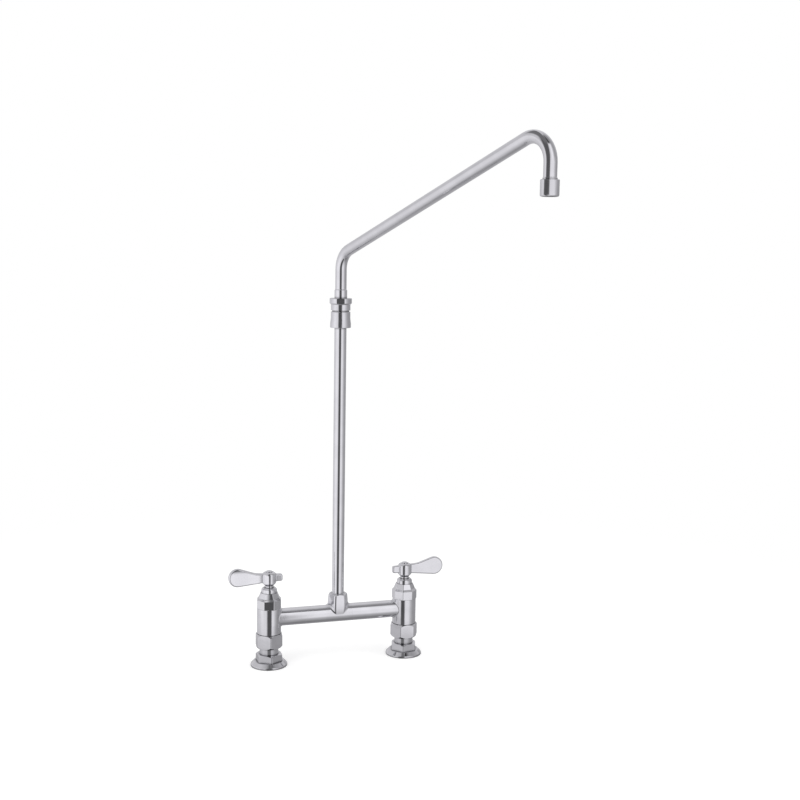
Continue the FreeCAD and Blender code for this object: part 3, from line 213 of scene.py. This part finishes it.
# The tent's tones: (degrees to the right of the camera, tone) round the tap, at four heights
tent = {
    "radius": 6.0,
    "columns": 48,
    "rows": 24,
    "cameraSide": 17.38,  # degrees that the camera stands to the left of straight ahead
    "tint": (0.975, 0.965, 1.0),
    "ground": [(-180, 0.34), (-128, 0.42), (-60, 0.46), (0, 0.44), (22, 0.38), (40, 0.28), (60, 0.20),
               (110, 0.19), (150, 0.25), (180, 0.34)],
    "low": [(-180, 0.55), (-150, 0.62), (-128, 0.71), (-113, 0.70), (-98, 0.79), (-83, 0.84), (-68, 0.97),
            (-53, 0.94), (-38, 0.86), (-15, 0.84), (15, 0.88), (37, 0.90), (52, 0.84), (64, 0.64),
            (78, 0.50), (95, 0.38), (120, 0.36), (142, 0.35), (160, 0.50), (180, 0.55)],
    "high": [(-180, 0.68), (-140, 0.62), (-100, 0.60), (-83, 0.64), (-60, 0.60), (-38, 0.56), (-15, 0.60),
             (5, 0.72), (20, 0.94), (40, 0.98), (52, 0.62), (66, 0.44), (85, 0.36), (110, 0.44),
             (140, 0.58), (165, 0.72), (180, 0.68)],
    "top": [(-180, 0.66), (-150, 0.66), (-118, 0.60), (-90, 0.55), (-60, 0.54), (-38, 0.50), (-23, 0.42),
            (-8, 0.30), (7, 0.16), (22, 0.05), (37, 0.04), (52, 0.20), (70, 0.30), (100, 0.30), (130, 0.42),
            (158, 0.62), (180, 0.66)],
    "heights": {"ground": -85, "groundEnds": -6, "middleEnds": 14, "high": 26, "highEnds": 56, "top": 64},
}

# Painted shadow: the ground near the tap as the chrome shows it, darker than the tent beyond, standing in
# for the floor's shade there
ground = {"tone": 0.26, "clear": 0.52, "full": 0.070, "gone": 0.200, "reach": 0.42, "rise": -0.0003,
          "sides": 64, "squeeze": (0.5, 1.0, 1.0)}


def toneRamp(tree, turn, tones):
    ramp = addNode(tree, "ShaderNodeValToRGB", {"Fac": turn})
    stops = ramp.color_ramp.elements
    for index, (degrees, tone) in enumerate(tones):
        position = (degrees + 180) / 360
        if index < len(stops):
            stops[index].position = position
        stop = stops[index] if index < len(stops) else stops.new(position)
        stop.color = grey(tone, tent["tint"])
    return ramp.outputs["Color"]


def tentMaterial():
    material = bpy.data.materials.new("paintedTent")
    tree = emptyTree(material)
    where = addNode(tree, "ShaderNodeTexCoord").outputs["Object"]
    aside = math.radians(tent["cameraSide"])
    spun = addNode(tree, "ShaderNodeVectorRotate", {"Vector": where, "Angle": aside},
                   rotation_type="Z_AXIS").outputs[0]
    parts = addNode(tree, "ShaderNodeSeparateXYZ", {0: spun})
    ahead = mathNode(tree, "MULTIPLY", parts.outputs["Y"], -1.0)
    turn = mathNode(tree, "ARCTAN2", parts.outputs["X"], ahead)
    turn = mathNode(tree, "MULTIPLY_ADD", turn, 0.5 / math.pi, 0.5)
    rise = mathNode(tree, "DIVIDE", parts.outputs["Z"], tent["radius"])
    rise = mathNode(tree, "MULTIPLY", mathNode(tree, "ARCSINE", rise), 180 / math.pi)
    heights = tent["heights"]
    colour = toneRamp(tree, turn, tent["ground"])
    for band, start, end in (("low", "ground", "groundEnds"), ("high", "middleEnds", "high"),
                             ("top", "highEnds", "top")):
        share = spread(tree, rise, heights[start], heights[end])
        colour = mixColours(tree, share, colour, toneRamp(tree, turn, tent[band]))
    glow = addNode(tree, "ShaderNodeEmission", {"Color": colour, "Strength": 1.0})
    addNode(tree, "ShaderNodeOutputMaterial", {"Surface": glow.outputs[0]})
    return material


def groundShadowMaterial():
    material = bpy.data.materials.new("mirroredGroundShadow")
    tree = emptyTree(material)
    where = addNode(tree, "ShaderNodeTexCoord").outputs["Object"]
    squeezed = addNode(tree, "ShaderNodeMapping", {"Vector": where, "Scale": ground["squeeze"]}).outputs[0]
    distance = addNode(tree, "ShaderNodeVectorMath", {0: squeezed}, operation="LENGTH").outputs["Value"]
    # Painted shadow: a solid dark tone near the tap that fades to clear further out
    fade = spread(tree, distance, ground["full"], ground["gone"], ground["clear"], 1.0)
    tone = grey(ground["tone"], tent["tint"])
    glow = addNode(tree, "ShaderNodeEmission", {"Color": tone, "Strength": 1.0})
    clear = addNode(tree, "ShaderNodeBsdfTransparent")
    blend = addNode(tree, "ShaderNodeMixShader", {0: fade, 1: glow.outputs[0], 2: clear.outputs[0]})
    addNode(tree, "ShaderNodeOutputMaterial", {"Surface": blend.outputs[0]})
    return material


def shownInMirrorsOnly(sheet):
    for kind in ("camera", "diffuse", "transmission", "volume_scatter", "shadow"):
        setattr(sheet, "visible_" + kind, False)


def makeGroundShadow():
    rim = rimPoints(ground["sides"], ground["reach"], ground["rise"])
    shownInMirrorsOnly(meshPiece("mirroredGroundShadow", rim, [tuple(range(len(rim)))], groundShadowMaterial()))


def makeTent():
    columns, rows, radius = tent["columns"], tent["rows"], tent["radius"]
    points = []
    for row in range(1, rows):
        lift = math.pi * (row / rows - 0.5)
        for column in range(columns):
            turn = 2 * math.pi * column / columns
            around = radius * math.cos(lift)
            points.append((around * math.cos(turn), around * math.sin(turn), radius * math.sin(lift)))
    faces = []
    for row in range(rows - 2):
        for column in range(columns):
            start, beside = row * columns + column, row * columns + (column + 1) % columns
            faces.append((start, start + columns, beside + columns, beside))
    bottom, top = len(points), len(points) + 1
    points += [(0, 0, -radius), (0, 0, radius)]
    for column in range(columns):
        beside = (column + 1) % columns
        faces.append((bottom, column, beside))
        last = (rows - 2) * columns
        faces.append((top, last + beside, last + column))
    shownInMirrorsOnly(meshPiece("lightTent", points, faces, tentMaterial()))


# Upright boards near the tap that only its mirror finish shows: dark ones towards the camera and a
# small white card before the hot lever
boards = {
    "darkBoard": {"middle": (-0.150, -0.429, 0.0), "across": (0.954, -0.299, 0.0), "up": (0.0, 0.0, 1.0),
                  "low": -0.6, "fade": 0.55, "high": 0.95, "full": 0.100, "gone": 0.240, "tone": 0.09},
    "outletBoard": {"middle": (-0.076, -0.495, 0.0), "across": (0.463, -0.886, 0.0), "up": (0.0, 0.0, 1.0),
                    "low": 0.585, "fade": 1.20, "high": 2.40, "full": 0.110, "gone": 0.225, "tone": 0.12},
    "elbowSheet": {"middle": (0.146, -0.360, 0.932), "across": (0.208, 0.978, 0.0),
                   "up": (-0.978, 0.208, 0.0), "low": 0.03, "fade": 0.18, "high": 0.34, "full": 0.110,
                   "gone": 0.220, "tone": 0.18},
    "whiteCard": {"middle": (-0.133, -0.030, 0.0), "across": (1.0, 0.0, 0.0), "up": (0.0, 0.0, 1.0),
                  "low": 0.098, "fade": 0.130, "high": 0.136, "full": 0.020, "gone": 0.028, "tone": 0.95},
}


def boardMaterial(name, board):
    material = bpy.data.materials.new(name)
    tree = emptyTree(material)
    layer = addNode(tree, "ShaderNodeUVMap").outputs[0]
    parts = addNode(tree, "ShaderNodeSeparateXYZ", {0: layer}).outputs
    share = spread(tree, mathNode(tree, "ABSOLUTE", parts["X"]), board["full"], board["gone"])
    share = mathNode(tree, "MAXIMUM", share, spread(tree, parts["Y"], board["fade"], board["high"]))
    tone = grey(board["tone"], tent["tint"])
    glow = addNode(tree, "ShaderNodeEmission", {"Color": tone, "Strength": 1.0})
    clear = addNode(tree, "ShaderNodeBsdfTransparent")
    blend = addNode(tree, "ShaderNodeMixShader", {0: share, 1: glow.outputs[0], 2: clear.outputs[0]})
    addNode(tree, "ShaderNodeOutputMaterial", {"Surface": blend.outputs[0]})
    return material


def makeBoard(name):
    board = boards[name]
    half = board["gone"]
    corners = [(-half, board["low"]), (half, board["low"]), (half, board["high"]), (-half, board["high"])]
    middle, across, up = (Vector(board[key]) for key in ("middle", "across", "up"))
    points = [middle + across * aside + up * rise for aside, rise in corners]
    sheet = meshPiece(name, points, [(0, 1, 2, 3)], boardMaterial(name, board))
    layer = sheet.data.uv_layers.new(name="across")
    for spot, corner in zip(layer.data, corners):
        spot.uv = corner
    shownInMirrorsOnly(sheet)


makeWorld()
for lampName, (lampWatts, lampPlace) in studio["lamps"].items():
    makeLamp(lampName, lampWatts, lampPlace)
makeFloor()
makeTent()
makeGroundShadow()
for boardName in boards:
    makeBoard(boardName)
print("studio is built")


# Finishes

def startFinish(name):
    material = bpy.data.materials.new(name)
    tree = emptyTree(material)
    shader = addNode(tree, "ShaderNodeBsdfPrincipled")
    addNode(tree, "ShaderNodeOutputMaterial", {"Surface": shader.outputs[0]})
    where = addNode(tree, "ShaderNodeTexCoord").outputs["Object"]
    return material, tree, shader, where


def stretched(tree, where, scale):
    return addNode(tree, "ShaderNodeMapping", {"Vector": where, "Scale": scale}).outputs[0]


def bumps(tree, shader, layers):
    normal = None
    for height, depth, strength in layers:
        bump = addNode(tree, "ShaderNodeBump", {"Height": height, "Distance": depth, "Strength": strength})
        if normal is not None:
            tree.links.new(normal, bump.inputs["Normal"])
        normal = bump.outputs[0]
    tree.links.new(normal, shader.inputs["Normal"])


# Noises are (scale, detail, roughness, distortion), ends are where a noise's blend starts and stops,
# and bumps are (height, strength)
chrome = {
    "cast_chrome": {"darker": (0.775, 0.775, 0.795), "paler": (0.835, 0.835, 0.855), "gloss": 0.075,
                    "haze": 0.05, "scratch": (1.0, 1.0, 0.12), "ripple": (150.0, 1.0),
                    "rippleBump": (0.00006, 1.0)},
    "tube_chrome": {"darker": (0.80, 0.80, 0.82), "paler": (0.85, 0.85, 0.87), "gloss": 0.06,
                    "haze": 0.04, "scratch": (1.0, 1.0, 0.05), "ripple": (90.0, 1.0),
                    "rippleBump": (0.00002, 1.0)},
    "lever_chrome": {"darker": (0.80, 0.80, 0.82), "paler": (0.85, 0.85, 0.87), "gloss": 0.12,
                     "haze": 0.05, "scratch": (0.10, 1.0, 1.0), "ripple": (120.0, 1.0),
                     "rippleBump": (0.00004, 1.0)},
}
chromeWear = {"clouds": (55.0, 3.0), "cloudEnds": (0.35, 0.65), "scratches": (5200.0, 2.0, 0.6),
              "scratchRough": 0.05, "scratchBump": (0.0000004, 0.5), "swirls": (900.0, 3.0, 0.6, 0.8),
              "swirlEnds": (0.55, 0.8), "swirlRough": 0.03, "swirlBump": (0.0000012, 0.5),
              "haze": (38.0, 4.0, 0.6), "hazeEnds": (0.48, 0.74)}
# Painted shade: ambient occlusion darkens the chrome's base colour in crevices and between parts
paintedCreviceShade = {"reach": 0.005, "deep": 0.45, "open": 0.88, "shade": 0.32, "samples": 8}


def chromeFinish(slotName):
    look, wear = chrome[slotName], chromeWear
    material, tree, shader, where = startFinish(slotName)
    shader.inputs["Metallic"].default_value = 1.0
    clouds = spread(tree, noise(tree, where, *wear["clouds"]), *wear["cloudEnds"])
    tone = mixColours(tree, clouds, look["darker"] + (1.0,), look["paler"] + (1.0,))
    # Painted shade: the base colour darkens where ambient occlusion finds surfaces close by
    openness = addNode(tree, "ShaderNodeAmbientOcclusion", {"Distance": paintedCreviceShade["reach"]},
                       samples=paintedCreviceShade["samples"])
    shade = spread(tree, openness.outputs["AO"], paintedCreviceShade["deep"], paintedCreviceShade["open"], paintedCreviceShade["shade"], 1.0)
    creviceShadedTone = mixColours(tree, 1.0, tone, shade, "MULTIPLY")
    tree.links.new(creviceShadedTone, shader.inputs["Base Color"])
    scratches = noise(tree, stretched(tree, where, look["scratch"]), *wear["scratches"])
    swirls = noise(tree, where, *wear["swirls"])
    haze = spread(tree, noise(tree, where, *wear["haze"]), *wear["hazeEnds"])
    rough = mathNode(tree, "MULTIPLY_ADD", scratches, wear["scratchRough"],
                     look["gloss"] - wear["scratchRough"] / 2)
    rough = mathNode(tree, "MULTIPLY_ADD", haze, look["haze"], rough)
    rubbed = spread(tree, swirls, *wear["swirlEnds"])
    rough = mathNode(tree, "MULTIPLY_ADD", rubbed, wear["swirlRough"], rough)
    tree.links.new(rough, shader.inputs["Roughness"])
    ripple = noise(tree, where, *look["ripple"])
    bumps(tree, shader, [(ripple, *look["rippleBump"]), (swirls, *wear["swirlBump"]),
                         (scratches, *wear["scratchBump"])])
    return material


# The other finishes: one noise mixes the two tones, and one roughens by (share, least)
plain = {
    "brass": {
        "metallic": 1.0, "tones": ((0.80, 0.65, 0.37), (0.66, 0.50, 0.26)), "toneBy": "stain",
        "toneEnds": (0.35, 0.7), "roughBy": "rings", "rough": (0.16, 0.17),
        "noises": {"rings": (6000.0, 2.0), "stain": (140.0, 4.0, 0.6)},
        "stretches": {"rings": (0.15, 0.15, 1.0)},
        "bumps": {"rings": (0.000006, 0.6), "stain": (0.00001, 0.3)}},
    "rubber": {
        "metallic": 0.0, "tones": ((0.024, 0.024, 0.025), (0.05, 0.05, 0.048)), "toneBy": "bloom",
        "toneEnds": (0.4, 0.75), "roughBy": "bloom", "rough": (0.25, 0.5),
        "noises": {"bloom": (300.0, 4.0, 0.6), "grain": (4200.0, 2.0)}, "stretches": {},
        "bumps": {"grain": (0.00001, 0.5)}},
    "ceramic": {
        "metallic": 0.0, "tones": ((0.90, 0.89, 0.86), (0.80, 0.78, 0.73)), "toneBy": "specks",
        "toneEnds": (0.5, 0.8), "roughBy": "specks", "rough": (0.12, 0.12),
        "noises": {"specks": (2600.0, 3.0, 0.7)}, "stretches": {},
        "bumps": {"specks": (0.000003, 0.3)}},
    "nylon": {
        "metallic": 0.0, "tones": ((0.90, 0.89, 0.86), (0.84, 0.83, 0.78)), "toneBy": "clouds",
        "toneEnds": None, "roughBy": "grain", "rough": (0.18, 0.34),
        "noises": {"clouds": (220.0, 3.0), "grain": (3000.0, 2.0)}, "stretches": {},
        "bumps": {"grain": (0.000006, 0.4)}},
    "stainless": {
        "metallic": 1.0, "tones": ((0.68, 0.68, 0.69), (0.60, 0.60, 0.60)), "toneBy": "stain",
        "toneEnds": (0.35, 0.7), "roughBy": "brushing", "rough": (0.16, 0.2),
        "noises": {"brushing": (4800.0, 2.0), "stain": (260.0, 3.0)},
        "stretches": {"brushing": (0.08, 1.0, 1.0)},
        "bumps": {"brushing": (0.000003, 0.5)}},
}


def plainFinish(slotName):
    look = plain[slotName]
    material, tree, shader, where = startFinish(slotName)
    shader.inputs["Metallic"].default_value = look["metallic"]
    layers = {}
    for layer, sizes in look["noises"].items():
        stretch = look["stretches"].get(layer)
        layers[layer] = noise(tree, stretched(tree, where, stretch) if stretch else where, *sizes)
    mixed = layers[look["toneBy"]]
    if look["toneEnds"]:
        mixed = spread(tree, mixed, *look["toneEnds"])
    clean, worn = (colour + (1.0,) for colour in look["tones"])
    tree.links.new(mixColours(tree, mixed, clean, worn), shader.inputs["Base Color"])
    rough = mathNode(tree, "MULTIPLY_ADD", layers[look["roughBy"]], *look["rough"])
    tree.links.new(rough, shader.inputs["Roughness"])
    bumps(tree, shader, [(layers[layer], *sizes) for layer, sizes in look["bumps"].items()])
    return material


finishes = {name: chromeFinish(name) for name in chrome}
finishes.update({name: plainFinish(name) for name in plain})
slotOf = {row["node"]: row["material_slot"] for row in frame["record"]["subparts"]}
for name, node in frame["nodes"].items():
    for materialSlot in node.material_slots:
        materialSlot.material = finishes[slotOf[name]]
print("finishes are on", len(slotOf), "solids")


# Pieces beside the solids

weldReach = 1e-6


# Welds doubled points and turns every face outwards
def cleanMesh(mesh):
    shape = bmesh.new()
    shape.from_mesh(mesh)
    bmesh.ops.remove_doubles(shape, verts=shape.verts, dist=weldReach)
    bmesh.ops.recalc_face_normals(shape, faces=shape.faces)
    shape.to_mesh(mesh)
    shape.free()


def place(piece, body, slotName):
    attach(piece, body)


# Turns a closed section of (radius, way along) about an axis through the centre
def lathe(name, section, centre, across, slotName, body):
    axis = Vector(across[2])
    sideways, upwards = Vector(across[0]), Vector(across[1])
    points, faces, count, segments = [], [], len(section), solder["segments"]
    for step in range(segments):
        turn = 2 * math.pi * step / segments
        outwards = sideways * math.cos(turn) + upwards * math.sin(turn)
        points += [Vector(centre) + outwards * radius + axis * along for radius, along in section]
        for index in range(count):
            after, ahead = (index + 1) % count, ((step + 1) % segments) * count
            faces.append((step * count + index, step * count + after, ahead + after, ahead + index))
    piece = meshPiece(name, points, faces, finishes[slotName], True)
    cleanMesh(piece.data)
    place(piece, body, slotName)


axes = {"up": ((1, 0, 0), (0, 1, 0), (0, 0, 1)), "down": ((1, 0, 0), (0, 1, 0), (0, 0, -1))}
solder = {"fillet": 0.0009, "sunk": 0.0002, "steps": 6, "segments": 72, "riserRoom": 0.002,
          "collarRoom": 0.0006, "ferruleEdge": 0.0001, "spoutTubeRadius": 0.008}


# A hollow fillet between a tube and the ring face that it stands in
def filletSection(inner, room):
    size, sunk = min(solder["fillet"], room), solder["sunk"]
    turns = [math.pi / 2 * step / solder["steps"] for step in range(solder["steps"] + 1)]
    hollow = [(inner + size * (1 - math.sin(turn)), size * (1 - math.cos(turn))) for turn in turns]
    return hollow + [(inner - sunk, size), (inner - sunk, -sunk), (inner + size, -sunk)]


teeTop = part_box("outlet_tee")[1][2]
riserLow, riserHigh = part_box("riser_pipe")
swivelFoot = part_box("swivel_body")[0][2]
ferruleLow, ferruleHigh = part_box("spout_ferrule")
collarLow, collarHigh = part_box("outlet_collar")
riserRadius = (riserHigh[0] - riserLow[0]) / 2
ferruleRadius = (ferruleHigh[0] - ferruleLow[0]) / 2
outletX, outletY = (collarLow[0] + collarHigh[0]) / 2, (collarLow[1] + collarHigh[1]) / 2
tubeRadius = solder["spoutTubeRadius"]
riserFillet = filletSection(riserRadius, solder["riserRoom"])
ferruleFillet = filletSection(tubeRadius, ferruleRadius - tubeRadius - solder["ferruleEdge"])
collarFillet = filletSection(tubeRadius, solder["collarRoom"])
lathe("riserFootSolder", riserFillet, (0, 0, teeTop), axes["up"], "tube_chrome", "mixer")
lathe("riserHeadSolder", riserFillet, (0, 0, swivelFoot), axes["down"], "tube_chrome", "mixer")
lathe("ferruleSolder", ferruleFillet, (0, 0, ferruleHigh[2]), axes["up"], "tube_chrome", "spout")
lathe("collarSolder", collarFillet, (outletX, outletY, collarHigh[2]), axes["up"], "tube_chrome", "spout")
print("solder beads are on")


# Node groups that grow what repeats

# A geometry group with these numbers as its named inputs
def startGroup(name, numbers):
    tree = bpy.data.node_groups.new(name, "GeometryNodeTree")
    for label in numbers:
        tree.interface.new_socket(label, in_out="INPUT", socket_type="NodeSocketFloat")
    tree.interface.new_socket("Geometry", in_out="OUTPUT", socket_type="NodeSocketGeometry")
    return tree, addNode(tree, "NodeGroupInput").outputs


def endGroup(tree, geometry, material):
    real = addNode(tree, "GeometryNodeRealizeInstances", {"Geometry": geometry})
    soft = addNode(tree, "GeometryNodeSetShadeSmooth", {"Geometry": real.outputs[0]})
    dressed = addNode(tree, "GeometryNodeSetMaterial", {"Geometry": soft.outputs[0], "Material": material})
    addNode(tree, "NodeGroupOutput", {"Geometry": dressed.outputs[0]})


# Runs the group once and keeps its result as a plain mesh
def grow(name, tree, numbers, slotName, body):
    seed = bpy.data.objects.new(name, bpy.data.meshes.new(name + "Seed"))
    bpy.context.collection.objects.link(seed)
    modifier = seed.modifiers.new("grow", "NODES")
    modifier.node_group = tree
    for item in tree.interface.items_tree:
        if item.in_out == "INPUT":
            modifier[item.identifier] = numbers[item.name]
    grown = bpy.data.meshes.new_from_object(seed.evaluated_get(bpy.context.evaluated_depsgraph_get()))
    seed.modifiers.clear()
    seed.data = grown
    cleanMesh(grown)
    place(seed, body, slotName)
    return seed


def triple(tree, across=0.0, forth=0.0, rise=0.0):
    return addNode(tree, "ShaderNodeCombineXYZ", {0: across, 1: forth, 2: rise}).outputs[0]


# Sweeps a round wire along a curve
def wire(tree, path, radius, sides):
    ring = addNode(tree, "GeometryNodeCurvePrimitiveCircle", {"Resolution": sides, "Radius": radius})
    swept = {"Curve": path, "Profile Curve": ring.outputs[0], "Fill Caps": True}
    return addNode(tree, "GeometryNodeCurveToMesh", swept).outputs[0]


# The woven wire screen behind the aerator's lip

screenLow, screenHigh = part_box("aerator_screen")
screenPlay = 0.00006  # left between the rim and the seats above and below it
screen = {"Radius": 0.0100, "Pitch": 0.00135, "Wire": 0.00036,
          "Rim": screenHigh[2] - screenLow[2] - screenPlay}
weave = {"rows": 15, "stops": 81, "wireSides": 6, "rimSides": 10, "rimStops": 72, "lineReach": 1.2,
         "lift": 0.53}


def weaveGroup():
    tree, given = startGroup("wovenScreen", screen)
    reach = mathNode(tree, "MULTIPLY", given["Radius"], weave["lineReach"])
    line = addNode(tree, "GeometryNodeCurvePrimitiveLine", {
        "Start": triple(tree, mathNode(tree, "MULTIPLY", reach, -1.0)), "End": triple(tree, reach)})
    stops = addNode(tree, "GeometryNodeResampleCurve", {"Curve": line.outputs[0], "Count": weave["stops"]})
    where = addNode(tree, "GeometryNodeInputPosition").outputs[0]
    along = addNode(tree, "ShaderNodeSeparateXYZ", {0: where}).outputs["X"]
    phase = mathNode(tree, "MULTIPLY", mathNode(tree, "DIVIDE", along, given["Pitch"]), math.pi)
    wave = mathNode(tree, "MULTIPLY", mathNode(tree, "COSINE", phase), given["Wire"])
    first = mathNode(tree, "MULTIPLY", given["Pitch"], -(weave["rows"] - 1) / 2)
    rows = addNode(tree, "GeometryNodeMeshLine", {
        "Count": weave["rows"], "Start Location": triple(tree, 0.0, first),
        "Offset": triple(tree, 0.0, given["Pitch"])})
    order = addNode(tree, "GeometryNodeInputIndex").outputs[0]
    odd = mathNode(tree, "MULTIPLY", mathNode(tree, "MODULO", order, 2.0), given["Pitch"])
    rows = addNode(tree, "GeometryNodeSetPosition", {"Geometry": rows.outputs[0],
                                                     "Offset": triple(tree, odd)}).outputs[0]
    both = addNode(tree, "GeometryNodeJoinGeometry")
    wireRadius = mathNode(tree, "MULTIPLY", given["Wire"], 0.5)
    for lift, turn in ((weave["lift"], 0.0), (-weave["lift"], math.pi / 2)):
        rise = mathNode(tree, "MULTIPLY", wave, lift)
        bent = addNode(tree, "GeometryNodeSetPosition", {"Geometry": stops.outputs[0],
                                                         "Offset": triple(tree, 0.0, 0.0, rise)})
        single = wire(tree, bent.outputs[0], wireRadius, weave["wireSides"])
        many = addNode(tree, "GeometryNodeInstanceOnPoints", {"Points": rows, "Instance": single})
        real = addNode(tree, "GeometryNodeRealizeInstances", {"Geometry": many.outputs[0]})
        laid = addNode(tree, "GeometryNodeTransform", {"Geometry": real.outputs[0],
                                                       "Rotation": (0, 0, turn)})
        tree.links.new(laid.outputs[0], both.inputs[0])
    flat = addNode(tree, "ShaderNodeVectorMath", {0: where, 1: (1, 1, 0)}, operation="MULTIPLY").outputs[0]
    radius = addNode(tree, "ShaderNodeVectorMath", {0: flat}, operation="LENGTH").outputs["Value"]
    rimRadius = mathNode(tree, "MULTIPLY", given["Rim"], 0.5)
    edge = mathNode(tree, "SUBTRACT", given["Radius"], rimRadius)
    outside = mathNode(tree, "GREATER_THAN", radius, edge)
    trimmed = addNode(tree, "GeometryNodeDeleteGeometry", {"Geometry": both.outputs[0],
                                                           "Selection": outside})
    circle = addNode(tree, "GeometryNodeCurvePrimitiveCircle", {"Resolution": weave["rimStops"],
                                                                "Radius": edge})
    rim = wire(tree, circle.outputs[0], rimRadius, weave["rimSides"])
    whole = addNode(tree, "GeometryNodeJoinGeometry")
    for geometry in (rim, trimmed.outputs[0]):
        tree.links.new(geometry, whole.inputs[0])
    spot = (outletX, outletY, (screenLow[2] + screenHigh[2]) / 2)
    there = addNode(tree, "GeometryNodeTransform", {"Geometry": whole.outputs[0], "Translation": spot})
    endGroup(tree, there.outputs[0], finishes["stainless"])
    return tree


wovenScreen = grow("wovenScreen", weaveGroup(), screen, "stainless", "spout")
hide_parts("aerator_screen")
print("woven screen has", len(wovenScreen.data.polygons), "faces")


# Rounded thread crests inside the two inlets

inletThread = {"Radius": 0.0093, "Pitch": 0.001814, "Turns": 4.7, "Crest": 0.0009, "Low": 0.0007}
threadSteps = {"perTurn": 60, "round": 8}


def threadGroup():
    tree, given = startGroup("inletThreads", inletThread)
    height = mathNode(tree, "MULTIPLY", given["Turns"], given["Pitch"])
    spiral = addNode(tree, "GeometryNodeCurveSpiral", {
        "Resolution": threadSteps["perTurn"], "Rotations": given["Turns"], "Start Radius": given["Radius"],
        "End Radius": given["Radius"], "Height": height})
    single = wire(tree, spiral.outputs[0], mathNode(tree, "MULTIPLY", given["Crest"], 0.5),
                  threadSteps["round"])
    columns = addNode(tree, "GeometryNodeMeshLine", {
        "Count": 2, "Start Location": triple(tree, hotColumnX, 0.0, given["Low"]),
        "Offset": (columnSpacing, 0, 0)})
    both = addNode(tree, "GeometryNodeInstanceOnPoints", {"Points": columns.outputs[0], "Instance": single})
    endGroup(tree, both.outputs[0], finishes["cast_chrome"])
    return tree


grow("inletThreads", threadGroup(), inletThread, "cast_chrome", "mixer")
print("inlet threads are in")
